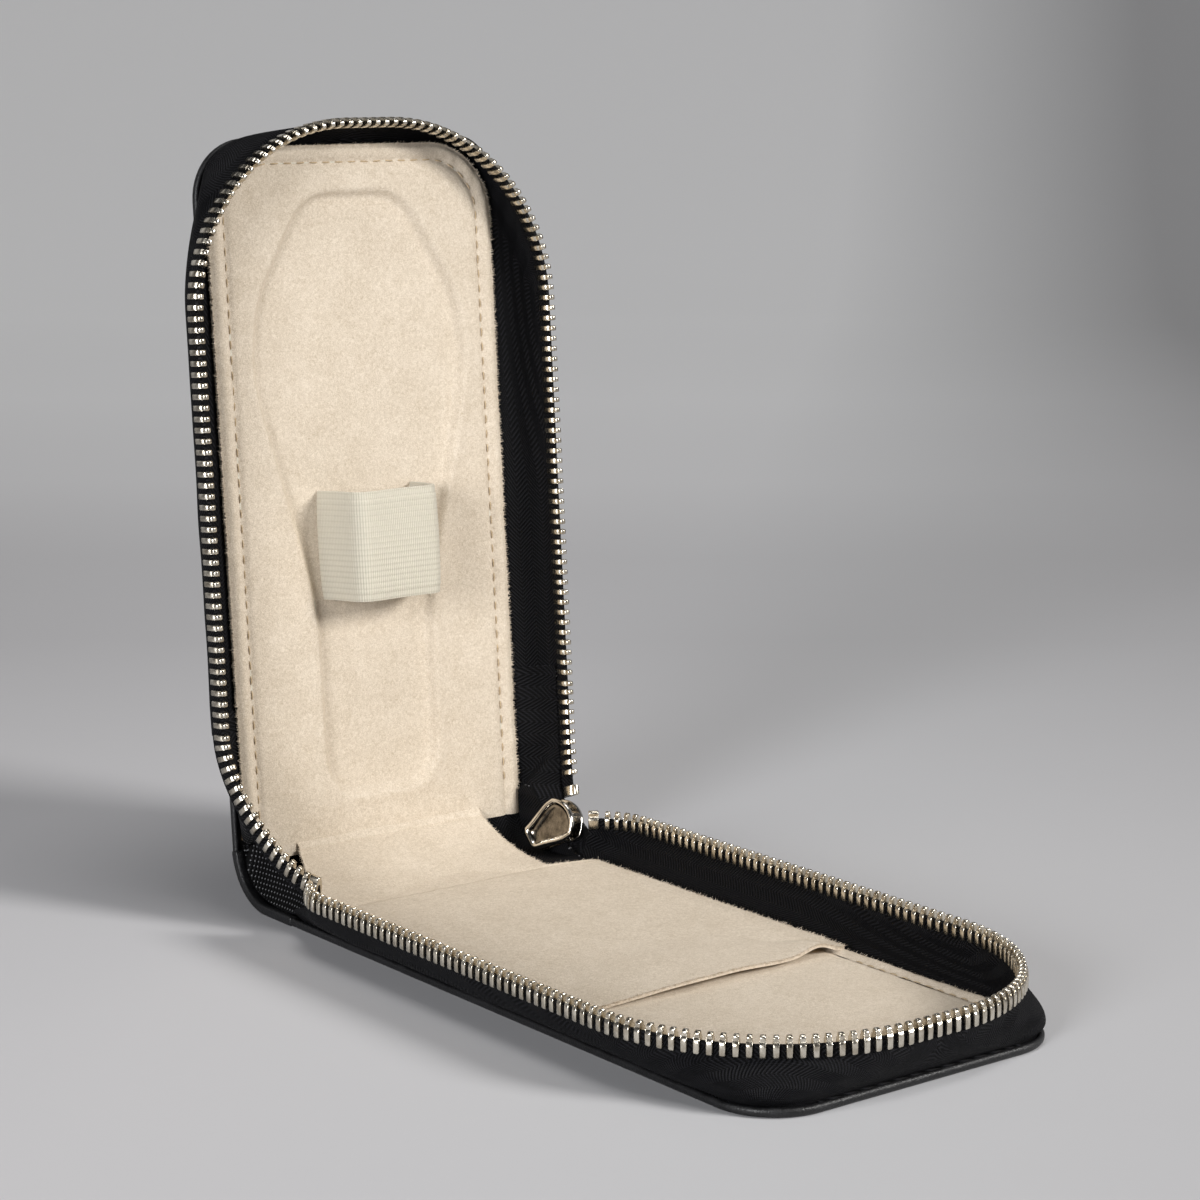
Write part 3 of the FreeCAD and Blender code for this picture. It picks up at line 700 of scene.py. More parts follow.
# Base lining, flat on its foam and sewn only where the pocket leaves it free
def base_lining():
    rear = 24.0
    sunk = 0.1
    stitched_from = pocket_mouth - 4
    grid = []
    for v in lining_rows(rear):
        half = lining_half_at(v)
        row = []
        for c, x in enumerate(even(-half, half, 2 * half / lining_columns)):
            spot = Vector((x, v, 50))
            w = lining_top + sewn_height(x, v, spot, v > stitched_from) - sunk
            x += frayed(spot) if c in (0, lining_columns) else 0.0
            row.append((base_point(x, v, w), base_point(x, v, layer_top)))
        grid.append(row)
    top, bottom = layers(grid)
    obj = thick_sheet("base_lining_suede", top, bottom, suede, extra=suede_edge(top, random.Random(seed + 1)))
    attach(obj, "base")
    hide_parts("base_suede_lining")


# Line of stitches along the three free sides of a lining, each a short flattened capsule
def lining_stitches(name, place, body, rear, draw):
    length, gap, radius, sides = 2.1, 1.15, 0.17, 6
    flatness, sunk, end_sink, most_skew = 0.8, 0.28, 0.22, 0.06
    capsule = [(-1.0, 0.25), (-0.85, 0.8), (-0.3, 1.0), (0.3, 1.0), (0.85, 0.8), (1.0, 0.25)]
    half = lining_half - stitch_inset
    far = lining_far - stitch_inset
    corner = lining_corner - stitch_inset
    left = [(-half, v) for v in even(rear, far - corner, 0.5)] + quarter(-half, far - corner, corner, 40)
    middle = [(x, far) for x in even(corner - half, half - corner, 0.5)[1:-1]]
    line = [Vector((x, v, 0)) for x, v in left + middle + mirrored(left)]
    points, faces = [], []
    walked, want = 0.0, 0.0
    for a, b in zip(line, line[1:]):
        walked += (b - a).length
        if walked < want:
            continue
        want = walked + length + gap
        way = (b - a).normalized()
        side = Vector((-way.y, way.x, 0))
        start = len(points)
        skew = draw.uniform(-most_skew, most_skew)
        for share, wide in capsule:
            centre = b + way * (share * length / 2) + side * (skew * share)
            level = lining_top - sunk - end_sink * share * share
            for k in range(sides):
                angle = math.tau * k / sides
                at = centre + side * (math.cos(angle) * radius * wide)
                points.append(place(at.x, at.y, level + math.sin(angle) * radius * flatness * wide))
        faces += grid_faces(len(capsule), sides, start, ring=True)
        faces += [tuple(range(start, start + sides)), tuple(range(len(points) - sides, len(points)))]
    obj = finish_mesh(piece(name, points, faces, suede_thread))
    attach(obj, body)


# Lets a grid of cloth settle under gravity, with its pinned points held; places in centimetres keep it steady
def settled(rows, pins, frames, cap, stiffness):
    scale = 0.1
    columns = len(rows[0])
    points = [point for row in rows for point in row]
    mesh = bpy.data.meshes.new("settling")
    mesh.from_pydata([tuple(point * scale) for point in points], [], grid_faces(len(rows), columns))
    obj = bpy.data.objects.new("settling", mesh)
    scene = bpy.context.scene
    scene.collection.objects.link(obj)
    group = obj.vertex_groups.new(name="pins")
    for index, weight in enumerate(weight for row in pins for weight in row):
        group.add([index], weight, "REPLACE")
    cloth = obj.modifiers.new("cloth", "CLOTH")
    cloth.settings.quality = 8
    cloth.settings.mass = 0.3
    cloth.settings.tension_stiffness = 40
    cloth.settings.compression_stiffness = 40
    cloth.settings.shear_stiffness = 15
    cloth.settings.bending_stiffness = stiffness
    cloth.settings.vertex_group_mass = "pins"
    cloth.point_cache.frame_start = 1
    cloth.point_cache.frame_end = frames
    for step in range(1, frames + 1):
        scene.frame_set(step)
    shape = obj.evaluated_get(bpy.context.evaluated_depsgraph_get())
    moved = [Vector(vertex.co) / scale for vertex in shape.data.vertices]
    scene.frame_set(1)
    bpy.data.objects.remove(obj)
    bpy.data.meshes.remove(mesh)
    result = []
    for before, after in zip(points, moved):
        shift = after - before
        if shift.length > cap:
            shift = shift.normalized() * cap
        result.append(before + shift)
    return [result[r * columns:(r + 1) * columns] for r in range(len(rows))]


def blend_spine(obj):
    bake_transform(obj)


# One suede sheet: the pocket on the base, then over the spine to the crease at the lid's foot
def pocket_sheet():
    thickness = 0.8
    notch_half = 25.5
    left_half = 35.0
    columns = 92
    notch_low, notch_high = 12.5, 16.5
    spine_start = 12.0
    crease_v, crease_w = 3.0, 4.3
    tucked_w, tucked_run, flare = 2.6, 4.0, 1.2
    lift, lift_from, rest_rise = 2.5, 52, 0.25
    corner_lift, corner_x, corner_width, corner_from, corner_run = 2.2, 30.0, 5.5, 90, 14
    mouth_bow = 1.6
    sewn_share, sewn_until = 0.97, 97

    def right_at(v):
        return lerp(notch_half, pocket_half, smooth((v - notch_low) / (notch_high - notch_low)))

    def left_at(v):
        return lerp(left_half, pocket_half, smooth((v - spine_start) / 8.0))

    rows, pins = [], []
    for v in even(pocket_mouth, spine_start, 0.8):
        row, pin = [], []
        left, right = left_at(v), right_at(v)
        open_share = smooth((v - lift_from) / (pocket_mouth - lift_from))
        turned_up = corner_lift * smooth((v - corner_from) / corner_run)
        for x in np.linspace(-left, right, columns + 1):
            share = x / (left if x < 0 else right)
            rise = rest_rise + lift * open_share * (1 - share * share)
            rise += turned_up * math.exp(-((x - corner_x) / corner_width) ** 2)
            rise += 0.22 * soft_noise(Vector((x, v, 90)), 13.0) * min(1.0, (1 - abs(share)) * 8)
            cut = mouth_bow * (1 - share * share) + 0.18 * soft_noise(Vector((x, v, 91)), 1.0)
            row.append(base_point(x, v + (cut if v == pocket_mouth else 0.0), lining_top + rise))
            pin.append(1.0 if abs(share) > sewn_share and v < sewn_until else 0.0)
        rows.append(row)
        pins.append(pin)
    start = base_point(0, spine_start, lining_top + rest_rise)
    crease = lid_point(0, crease_v, crease_w)
    curve = [start, start + Vector((0, 13, 0.4)), crease - Vector((0, 9, 4.2)), crease]
    for t in even(0, 1, 0.025)[1:]:
        point = bezier(curve, t)
        row = []
        for x in np.linspace(-lerp(left_half, notch_half, t), notch_half + flare * t, columns + 1):
            ripple = 0.3 * soft_noise(Vector((x, t * 30, 92)), 11.0) * math.sin(math.pi * t)
            row.append(Vector((x, point.y, point.z + ripple)))
        rows.append(row)
        sewn = (0, 1, columns - 1, columns)
        pins.append([1.0 if t > 0.97 or c in sewn else 0.2 for c in range(columns + 1)])
    for v in even(crease_v + 0.6, crease_v + tucked_run, 0.8):
        w = lerp(crease_w, tucked_w, smooth((v - crease_v) / 3.0))
        rows.append([lid_point(x, v, w) for x in np.linspace(-notch_half, notch_half + flare, columns + 1)])
        pins.append([1.0] * len(rows[-1]))
    rows = settled(rows, pins, frames=14, cap=1.2, stiffness=6.0)
    floor, floor_end = lining_top + 0.12, hinge_y - 14
    for row in rows:
        for point in row:
            point.z = max(point.z, floor) if point.y < floor_end else point.z
    middle, centre = len(rows) // 2, columns // 2
    top = lifted(rows, -thickness)
    if top[middle][centre].z < rows[middle][centre].z:
        top = lifted(rows, thickness)
    draw = random.Random(seed + 2)
    obj = thick_sheet("pocket_and_spine_suede", top, rows, suede, extra=suede_edge(top[::-1], draw))
    blend_spine(obj)
    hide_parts("card_pocket", "spine_suede_lining")


# Zip line

zip_middle = zip_half - tape_thickness / 2
zip_corner = zip_half - zip_far_flat - tape_thickness / 2
zip_end_v = zip_far - tape_thickness / 2
zip_radius = zip_end_radius - tape_thickness / 2
foot_half = panel_half - tape_inset
foot_corner = panel_corner - tape_inset
foot_far = panel_far - tape_inset
zip_flat = zip_middle - zip_corner
tape_knee_w = half_depth - tape_knee
zip_foot_run = 60


# Length of the zip line from the middle of the far end to a hinge end, with part of its end turn
def zip_reach(side, turn):
    return zip_flat + zip_corner * math.pi / 2 + zip_end_v - zip_corner - zip_start[side] + zip_radius * turn


# Length of the lid's zip line to the start of a loose end
def lid_reach(side):
    return zip_reach(side, 0) - (lid_zip_start - zip_start[side])


# Place on the zip line and its sewn foot below it, with the angle that the line has turned through
def zip_station(distance):
    side = -1 if distance < 0 else 1
    rest = abs(distance)
    start = zip_start[side]
    run = zip_end_v - zip_corner - start
    if rest < zip_flat:
        x, v, angle = rest, zip_end_v, 0.0
        foot = ((foot_half - foot_corner) * rest / zip_flat, foot_far)
    elif rest < zip_flat + zip_corner * math.pi / 2:
        angle = (rest - zip_flat) / zip_corner
        short_x, short_v = 1 - math.sin(angle), 1 - math.cos(angle)
        x, v = zip_middle - zip_corner * short_x, zip_end_v - zip_corner * short_v
        foot = (foot_half - foot_corner * short_x, foot_far - foot_corner * short_v)
    elif rest < zip_flat + zip_corner * math.pi / 2 + run:
        along = rest - zip_flat - zip_corner * math.pi / 2
        x, v, angle = zip_middle, zip_end_v - zip_corner - along, math.pi / 2
        ahead = panel_far - panel_corner - zip_end_v + zip_corner
        foot = (foot_half, v + ahead * (1 - smooth(along / zip_foot_run)))
    else:
        turn = (rest - zip_flat - zip_corner * math.pi / 2 - run) / zip_radius
        x, v = zip_middle - zip_radius * (1 - math.cos(turn)), start - zip_radius * math.sin(turn)
        angle = math.pi / 2 + turn
        foot = (foot_half, lerp(start, tape_foot_start, turn / zip_end_turn[side]))
    return side, x, v, angle, foot


# Middle of the tape at a height, with its outward way: out of the rim, round over its edge, then upright
def tape_point(distance, w):
    least_slack, more_slack, corner_slack = 0.35, 0.5, 1.8
    side, x, v, angle, (foot_x, foot_v) = zip_station(distance)
    out_x, out_v = side * math.sin(angle), math.cos(angle)
    share = min(1.0, max(0.0, (w - sheet_foot) / (tape_knee_w - sheet_foot)))
    flare = side * (x - foot_x) * out_x + (v - foot_v) * out_v
    late_lean, early_lean = smooth(share) ** 1.4, math.sin(math.pi / 2 * share) ** 0.85
    lean = lerp(late_lean, early_lean, smooth(0.5 + flare / 8))
    slack = least_slack + more_slack * soft_noise(Vector((distance, 0, 0)), 14.0)
    slack += corner_slack * smooth(0.4 - flare / 6)
    belly = slack * math.sin(math.pi * share ** 0.8) ** 1.3
    tape_x = lerp(side * foot_x, side * x, lean) + out_x * belly
    tape_v = lerp(foot_v, v, lean) + out_v * belly
    return tape_x, tape_v, out_x, out_v


# Tape along part of the zip line, from under the leather of the rim up to the teeth
def tape_band(name, place, start, end):
    heights = [leather] + even(sheet_foot, tape_knee_w, 0.5) + even(tape_knee_w, tape_top, 0.55)[1:]
    half = tape_thickness / 2
    grid = []
    for distance in even(start, end, 1.1):
        row = []
        across = 0.0
        for w in heights:
            x, v, out_x, out_v = tape_point(distance, w)
            outside = place(x + out_x * half, v + out_v * half, w)
            across += (outside - row[-1][0]).length if row else 0.0
            row.append((outside, place(x - out_x * half, v - out_v * half, w), (distance, across)))
        grid.append(row)
    outer, inner, weave = layers(grid)
    obj = thick_sheet(name, outer, inner, zip_tape, weave)
    return obj


# Loose ends of the lid's zip

loose_end = {-1: (0.4 - panel_half, 17.0, 12.4), 1: (panel_half + 4.7, -3.1, 15.6)}
loose_way = {-1: Vector((0.35, -0.93, -0.1)).normalized(), 1: Vector((-0.15, -0.35, -0.93)).normalized()}
loose_pull = {-1: 11.0, 1: 9.0}
loose_steps = 36
loose_samples = 96
loose_reach = tape_knee - (half_depth - tape_top)


def loose_curve(side):
    start = lid_point(side * zip_middle, lid_zip_start, tape_top)
    down = lid_point(side * zip_middle, 0, tape_top) - lid_point(side * zip_middle, 1, tape_top)
    end = base_point(*loose_end[side])
    return [start, start + down * loose_pull[side], end - loose_way[side] * loose_pull[side], end]


# Point, way along, way across and way of the tooth heads on a loose end
def loose_frame(side, t):
    curve = loose_curve(side)
    way = bezier_way(curve, t)
    head = way.cross(Vector((1, 0, 0))).normalized()
    if head.dot(Vector((0, -1, 1))) < 0:
        head = -head
    return bezier(curve, t), way, way.cross(head).normalized(), head


# Length walked from the lid at each of the samples along a loose end
def loose_lengths(side):
    curve = loose_curve(side)
    points = [bezier(curve, step / loose_samples) for step in range(loose_samples + 1)]
    lengths = [0.0]
    for a, b in zip(points, points[1:]):
        lengths.append(lengths[-1] + (b - a).length)
    return lengths


def loose_value(side, length):
    return float(np.interp(length, loose_lengths(side), np.linspace(0, 1, loose_samples + 1)))


def blend_lid(obj):
    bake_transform(obj)


# Strip of tape below the teeth of a loose end
def loose_tape(side, word):
    outer, inner, weave = [], [], []
    lengths = loose_lengths(side)
    shares = even(0, 1, 0.2)
    for step in range(loose_steps + 1):
        t = step / loose_steps
        point, _, across, head = loose_frame(side, t)
        half = across * (tape_thickness / 2)
        outer.append([point - head * (loose_reach + 0.8) * share - half for share in shares])
        inner.append([point - head * (loose_reach + 0.8) * share + half for share in shares])
        walked = float(np.interp(t, np.linspace(0, 1, loose_samples + 1), lengths))
        weave.append([(walked, share * loose_reach) for share in shares])
    obj = thick_sheet("lid_tape_end_" + word, outer, inner, zip_tape, weave)
    blend_lid(obj)
    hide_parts("lid_zip_end_tape_" + word)


# Teeth

# Section of a tooth across the tape: two legs that grip it, shoulders, a waist and a round head
def tooth_outline():
    slot, foot, shoulder, waist = 0.5, 1.2, 1.1, 0.66
    head_half, head_rise, head_middle = 0.8, 0.72, 1.25
    right = [(slot, 0.15), (slot, -2.2), (slot + 0.12, -2.45), (foot - 0.25, -2.5), (foot, -2.2),
             (foot, -0.3), (shoulder, 0.25), (waist, 0.62), (waist + 0.02, 0.85)]
    for step in range(0, 5):
        angle = math.radians(lerp(-25, 90, step / 4))
        right.append((head_half * math.cos(angle), head_middle + head_rise * math.sin(angle)))
    return right + mirrored(right[:-1])


# Tooth mesh in its own frame: X across the tape, Y along it, Z towards the head
def tooth_mesh(length, head_swell):
    edge_round = 0.24
    shape = bmesh.new()
    outline = tooth_outline()
    low = [shape.verts.new((x, -length / 2, z)) for x, z in outline]
    high = [shape.verts.new((x, length / 2, z)) for x, z in outline]
    shape.faces.new(low)
    shape.faces.new(high[::-1])
    for i in range(len(outline)):
        j = (i + 1) % len(outline)
        shape.faces.new((low[i], high[i], high[j], low[j]))
    rims = [edge for edge in shape.edges if abs(edge.verts[0].co.y - edge.verts[1].co.y) < 1e-9]
    bmesh.ops.bevel(shape, geom=rims, offset=edge_round, segments=3, profile=0.5, affect="EDGES")
    bmesh.ops.recalc_face_normals(shape, faces=shape.faces)
    for vertex in shape.verts:
        vertex.co.y *= 1 + head_swell * smooth((vertex.co.z - 0.5) / 0.6)
    shape.verts.index_update()
    points = [vertex.co.copy() for vertex in shape.verts]
    faces = [tuple(vertex.index for vertex in face.verts) for face in shape.faces]
    shape.free()
    return points, faces


tooth_shown = 1.25
tooth_form = tooth_mesh(tooth_shown, head_swell=-0.1)
stop_form = tooth_mesh(stop_length, head_swell=0.0)


def placed(form, origin, across, along, head):
    turn = Matrix((across, along, head)).transposed()
    return [origin + turn @ point for point in form[0]], form[1]


def on_zip(form, place, distance):
    side, x, v, angle, _ = zip_station(distance)
    x = side * x
    along_x, along_v = side * math.cos(angle), -math.sin(angle)
    origin = place(x, v, tape_top)
    along = (place(x + along_x, v + along_v, tape_top) - origin).normalized()
    head = (place(x, v, tape_top + 1) - origin).normalized()
    return placed(form, origin, along.cross(head).normalized(), along, head)


def on_loose(form, side, length):
    point, way, across, head = loose_frame(side, loose_value(side, length))
    return placed(form, point, across, way, head)


def metal_piece(name, forms, node):
    obj = finish_mesh(piece(name, *merged(*forms), zip_metal))
    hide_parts(node)
    return obj


def tooth_row(name, place, shift, start, end, node):
    first = math.ceil(start / tooth_pitch - shift)
    last = math.floor(end / tooth_pitch - shift)
    forms = [on_zip(tooth_form, place, (count + shift) * tooth_pitch) for count in range(first, last + 1)]
    return metal_piece(name, forms, node)


def loose_teeth(side, word):
    reach = lid_reach(side)
    last = math.floor((reach - tooth_thickness / 2) / tooth_pitch - row_shift)
    first = (last + 1 + row_shift) * tooth_pitch - reach
    total = loose_lengths(side)[-1]
    count = int((total - stop_length - tooth_thickness - first) / tooth_pitch) + 1
    forms = [on_loose(tooth_form, side, first + step * tooth_pitch) for step in range(count)]
    blend_lid(metal_piece("lid_teeth_end_" + word, forms, "lid_zip_end_teeth_" + word))
    stop = on_loose(stop_form, side, total - stop_length / 2)
    blend_lid(metal_piece("lid_stop_" + word, [stop], "lid_zip_stops"))


def blend_slider(obj):
    base_point(0, zip_start[1], tape_top) * mm
    base_point(0, zip_start[1] - 11.0, tape_top) * mm
    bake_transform(obj)


def zip_rows():
    left_end = zip_reach(-1, zip_end_turn[-1])
    right_bend = zip_reach(1, 0)
    right_end = zip_reach(1, zip_end_turn[1])
    row_end = stop_length + tooth_thickness
    lid_left = lid_reach(-1)
    lid_right = lid_reach(1)

    base_tape = tape_band("base_tape_woven", base_point, -left_end, right_bend)
    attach(base_tape, "base")
    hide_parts("base_zip_tape")
    end_tape = tape_band("base_tape_end_right", base_point, right_bend, right_end)
    blend_slider(end_tape)
    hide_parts("base_zip_end_tape_right")
    lid_tape = tape_band("lid_tape_woven", lid_point, -lid_left, lid_right)
    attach(lid_tape, "lid")
    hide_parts("lid_zip_tape")

    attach(tooth_row("base_teeth_row", base_point, 0, row_end - left_end, right_bend, "base_zip_teeth"),
            "base")
    blend_slider(tooth_row("base_teeth_end_right", base_point, 0, right_bend, right_end - row_end,
                           "base_zip_end_teeth_right"))
    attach(metal_piece("base_stop_left", [on_zip(stop_form, base_point, stop_length / 2 - left_end)],
                        "base_zip_stop_left"), "base")
    blend_slider(metal_piece("base_stop_right", [on_zip(stop_form, base_point, right_end - stop_length / 2)],
                             "base_zip_stop_right"))
    lid_end = tooth_thickness / 2
    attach(tooth_row("lid_teeth_row", lid_point, row_shift, lid_end - lid_left, lid_right - lid_end,
                      "lid_zip_teeth"), "lid")
    for side, word in ((-1, "left"), (1, "right")):
        loose_tape(side, word)
        loose_teeth(side, word)


# Gussets

# Fold line of a gusset, from the lid's side to the base's, as places behind and above the hinge line
fold_places = {-1: [(13.5, 7.0), (8.5, 5.5), (4.0, 2.5), (-1.5, 0.0), (-7.0, -2.5)],
               1: [(14.0, 9.0), (9.5, 4.5), (5.0, 1.0), (-1.0, -2.0), (-6.0, -4.5)]}
fold_steps = 44
gusset_rim = foot_half - 0.4
gusset_thickness = 0.4


# Points evenly spaced along a line, with its corners cut round
def eased_line(points, count):
    for _ in range(3):
        cut = [points[0]]
        for a, b in zip(points, points[1:]):
            cut += [lerp(a, b, 0.25), lerp(a, b, 0.75)]
        points = cut + [points[-1]]
    walked = np.cumsum([0.0] + [(b - a).length for a, b in zip(points, points[1:])])
    stops = np.linspace(0, walked[-1], count + 1)
    columns = [np.interp(stops, walked, [point[k] for point in points]) for k in range(3)]
    return [Vector(place) for place in zip(*columns)]


# Line along the floor of the hinge, from the base's lining over the spine to the lid's foot
def hinge_floor(x):
    level = layer_top + 0.25
    line = [base_point(x, v, w) for v, w in ((21.0, level), (8.5, level), (4.5, 2.6), (-3.0, 2.1))]
    line += [Vector((x, hinge_y + back, z)) for back, z in ((12.0, 3.6), (16.0, 7.0))]
    return line + [lid_point(x, v, w) for v, w in ((2.6, 3.0), (6.5, 2.7))]


# Fold from the lid's rim to the base's, tucked in by an amount along its middle
def gusset_fold(side, tuck):
    x = side * gusset_rim
    tuck_from, tuck_run, tuck_end = 0.38, 0.24, 0.18
    lid_places = ((lid_zip_start, 0), (22.0, 0.4), (11.0, 0.9), (5.0, 0.9))
    line = [lid_point(x, v, sheet_foot - low) for v, low in lid_places]
    line += [base_point(x, -back, hinge_height + up) for back, up in fold_places[side]]
    line.append(base_point(x, tape_foot_start, sheet_foot))
    fold = []
    for step, point in enumerate(eased_line(line, fold_steps)):
        t = step / fold_steps
        tucked = tuck * smooth((t - tuck_from) / tuck_run) * smooth((1 - t) / tuck_end)
        fold.append(point - Vector((side * tucked, 0, 0)))
    return fold


# Woven sheet with its open weave outside and its plain twill inside
def gusset_sheet(name, rows, side):
    weave = [[(point.y, point.z) for point in row] for row in rows]
    grids = [rows, lifted(rows, gusset_thickness)]
    grids.sort(key=lambda grid: -side * grid[len(grid) // 2][len(grid[0]) // 2].x)
    obj = thick_sheet(name, *grids, gusset_cloth, weave, under=zip_tape)
    return obj


# Works out the flat size and area that a gusset is cut to, from the rows of its sheet, without keeping them
def declare_cut(rows):
    heights = [(row[-1] - row[0]).length for row in rows]
    sides = [[(b[c] - a[c]).length for a, b in zip(rows, rows[1:])] for c in (0, -1)]
    area = sum((near + far) * (foot + top) / 4 for near, far, foot, top in zip(heights, heights[1:], *sides))
    flat = (max(heights) * mm, max(sum(side) for side in sides) * mm)


# Slack wall from the loose zip end to the fold, lapped on both tapes
def gusset_wall(side, word, fold):
    lid_lap, base_lap = -0.85, -1.6 if side < 0 else 0.85
    swell = 0.0 if side < 0 else 1.2
    crease_depth, tape_lap, set_in = 0.4, 0.4, 0.6
    columns = 12
    outward = Vector((side, 0, 0))
    lid_end = lid_reach(side)
    base_end = zip_reach(side, zip_end_turn[side])

    def lapped(place, distance, by):
        row = []
        for c in range(columns + 1):
            w = lerp(tape_knee_w, sheet_foot, c / columns)
            x, v, out_x, out_v = tape_point(side * distance, w)
            row.append(place(x + out_x * by, v + out_v * by, w))
        return row

    def free(step):
        t = step / fold_steps
        point, _, _, head = loose_frame(side, t)
        top = point - head * (loose_reach + tape_lap) - outward * set_in
        row = []
        for c in range(columns + 1):
            share = c / columns
            crease = crease_depth * math.sin(t * 23.0 + share * 3.0) * math.sin(math.pi * share)
            row.append(lerp(top, fold[step], share) - outward * (crease * smooth(t / 0.4)))
        return row

    first = lapped(lid_point, lid_end, lid_lap)
    last = lapped(base_point, base_end, base_lap)
    laps = (4.0, 2.6, 1.2)
    wall = [lapped(lid_point, lid_end - back, lid_lap) for back in laps]
    for step in range(fold_steps + 1):
        turn = smooth(step / fold_steps / 0.3)
        shares = [lerp(1.0, turn, smooth(c / columns / 0.5)) for c in range(columns + 1)]
        wall.append([lerp(a, b, share) for a, b, share in zip(first, free(step), shares)])
    tip = wall[-1]
    for t in even(0, 1, 0.125)[1:]:
        out = outward * (swell * math.sin(math.pi * t))
        row = [lerp(a, b, t) for a, b in zip(tip, last)]
        wall.append([point + out * math.sin(math.pi * c / columns) for c, point in enumerate(row)])
    wall += [lapped(base_point, base_end - back, base_lap) for back in reversed(laps)]
    held = len(laps) + 1
    sewn, slack = [1.0] * (columns + 1), [1.0] + [0.0] * (columns - 1) + [1.0]
    pins = [slack if held <= r < len(wall) - held else sewn for r in range(len(wall))]
    rows = settled(wall, pins, frames=12, cap=1.0, stiffness=1.5)
    obj = gusset_sheet("gusset_cloth_" + word, rows, side)
    blend_lid(obj)
    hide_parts("hinge_gusset_" + word)
    declare_cut(wall)


# Web that stands on the spine's edge and laps behind the fold
def gusset_web(side, word, fold):
    columns, steps = 12, 30
    overlap, behind = 0.6, 0.5
    crest_first, crest_last = 0.94, 0.46
    rows = []
    for step, foot in enumerate(eased_line(hinge_floor(side * gusset_rim)[1:], steps)):
        crest = fold[int(round(lerp(crest_first, crest_last, step / steps) * fold_steps))]
        top = crest + (crest - foot).normalized() * overlap
        top.x -= side * behind
        row = []
        for c in range(columns + 1):
            share = c / columns
            point = lerp(foot, top, share)
            uneven = 0.25 * soft_noise(point, 6.0) * share
            point.x = lerp(foot.x, top.x, math.sin(math.pi / 2 * share)) + uneven
            row.append(point)
        rows.append(row)
    obj = gusset_sheet("gusset_web_" + word, rows, side)
    blend_spine(obj)
    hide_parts("hinge_gusset_" + word)
    declare_cut(rows)


# Strip of tape on the floor of the hinge, from under the suede to the rim
def gusset_foot(side, word):
    inner, outer = 21.0, gusset_rim - 0.2
    line = eased_line(hinge_floor(0), 35)
    floor, weave = [], []
    walked = 0.0
    places = even(inner, outer, 1.2)
    for step, point in enumerate(line):
        walked += (point - line[step - 1]).length if step else 0.0
        floor.append([point + Vector((side * x, 0, 0)) for x in places])
        weave.append([(walked, x) for x in places])
    obj = thick_sheet("gusset_foot_" + word, floor, lifted(floor, -gusset_thickness), zip_tape, weave)
    blend_spine(obj)


def gusset(side, word, tuck):
    fold = gusset_fold(side, tuck)
    gusset_wall(side, word, fold)
    gusset_web(side, word, fold)
    gusset_foot(side, word)


# The lid place v of a height above the ground, along the lining
def lid_place_v(z):
    return (z - lid_point(0, 0, lining_top + strap_stand / 2).z) / math.sin(open_angle)


# Elastic strap: a band that stands off the lid, with raised cords and plain selvedges
def elastic_strap():
    corner, corner_steps = 3.2, 10
    cords, cord_rise = 18, 0.08
    selvedge, selvedge_sink = 1.7, 0.1
    edge_round, edge_width = 0.12, 0.5
    middle_v = (lid_place_v(strap_low_corner.z) + lid_place_v(strap_high_corner.z)) / 2
    top_w = lining_top + strap_stand - strap_thickness / 2
    foot_w = layer_top - 1.2
    slit_w = foot_w + 1.5
    left = [(-strap_half_foot, w) for w in even(foot_w, slit_w, 0.5)]
    left += [(lerp(-strap_half_foot, -strap_half_front, t), lerp(slit_w, top_w - corner, t))
             for t in even(0, 1, 0.06)[1:]]
    left += quarter(-strap_half_front, top_w - corner, corner, corner_steps)
    front = [(x, top_w) for x in even(corner - strap_half_front, strap_half_front - corner, 0.6)[1:-1]]
    path = left + front + mirrored(left)
    grid = []
    walked = 0.0
    for i, (x, w) in enumerate(path):
        ahead, behind = path[min(i + 1, len(path) - 1)], path[max(i - 1, 0)]
        way = Vector((ahead[0] - behind[0], ahead[1] - behind[1])).normalized()
        out = Vector((-way.y, way.x))
        if i:
            walked += math.hypot(x - path[i - 1][0], w - path[i - 1][1])
        sway = 0.25 * soft_noise(Vector((walked, 3, 1)), 12.0)
        row = []
        for offset in even(-strap_width / 2, strap_width / 2, 0.3):
            inside = strap_width / 2 - abs(offset)
            corded = smooth((inside - selvedge) / 0.4)
            across = offset + strap_width / 2 - selvedge
            turns = across / (strap_width - 2 * selvedge) * cords
            half = strap_thickness / 2 - edge_round * (1 - smooth(inside / edge_width))
            half += cord_rise * corded * (0.5 - 0.5 * math.cos(math.tau * turns))
            half -= selvedge_sink * (1 - corded)
            bow = 0.35 * math.sin(math.pi * (offset / strap_width + 0.5))
            bow += 0.12 * soft_noise(Vector((walked, offset, 7)), 9.0)
            v = middle_v + offset + sway * (abs(offset) / strap_width)
            row.append((lid_point(x + out.x * (half + bow), v, w + out.y * (half + bow)),
                        lid_point(x - out.x * (half - bow), v, w - out.y * (half - bow)), (walked, across)))
        grid.append(row)
    outer, inner, weave = layers(grid)
    obj = thick_sheet("strap_elastic", outer, inner, elastic, weave)
    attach(obj, "lid")
    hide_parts("elastic_strap")


# Slider

slider_length = 14.0
slider_mouth_half = 5.3
slider_tail_half = 3.2
slider_half_gap = 1.7
slider_plate = 1.1


# Middle of the slider's mouth, with its ways along, across and towards the inside of the case
def slider_frame():
    way = Vector((-0.4, 0.68, -0.61)).normalized()
    inward = Vector((-1, 0, 0))
    inward = (inward - way * inward.dot(way)).normalized()
    return base_point(panel_half + 0.3, 3.6, 13.7), way, way.cross(inward).normalized(), inward


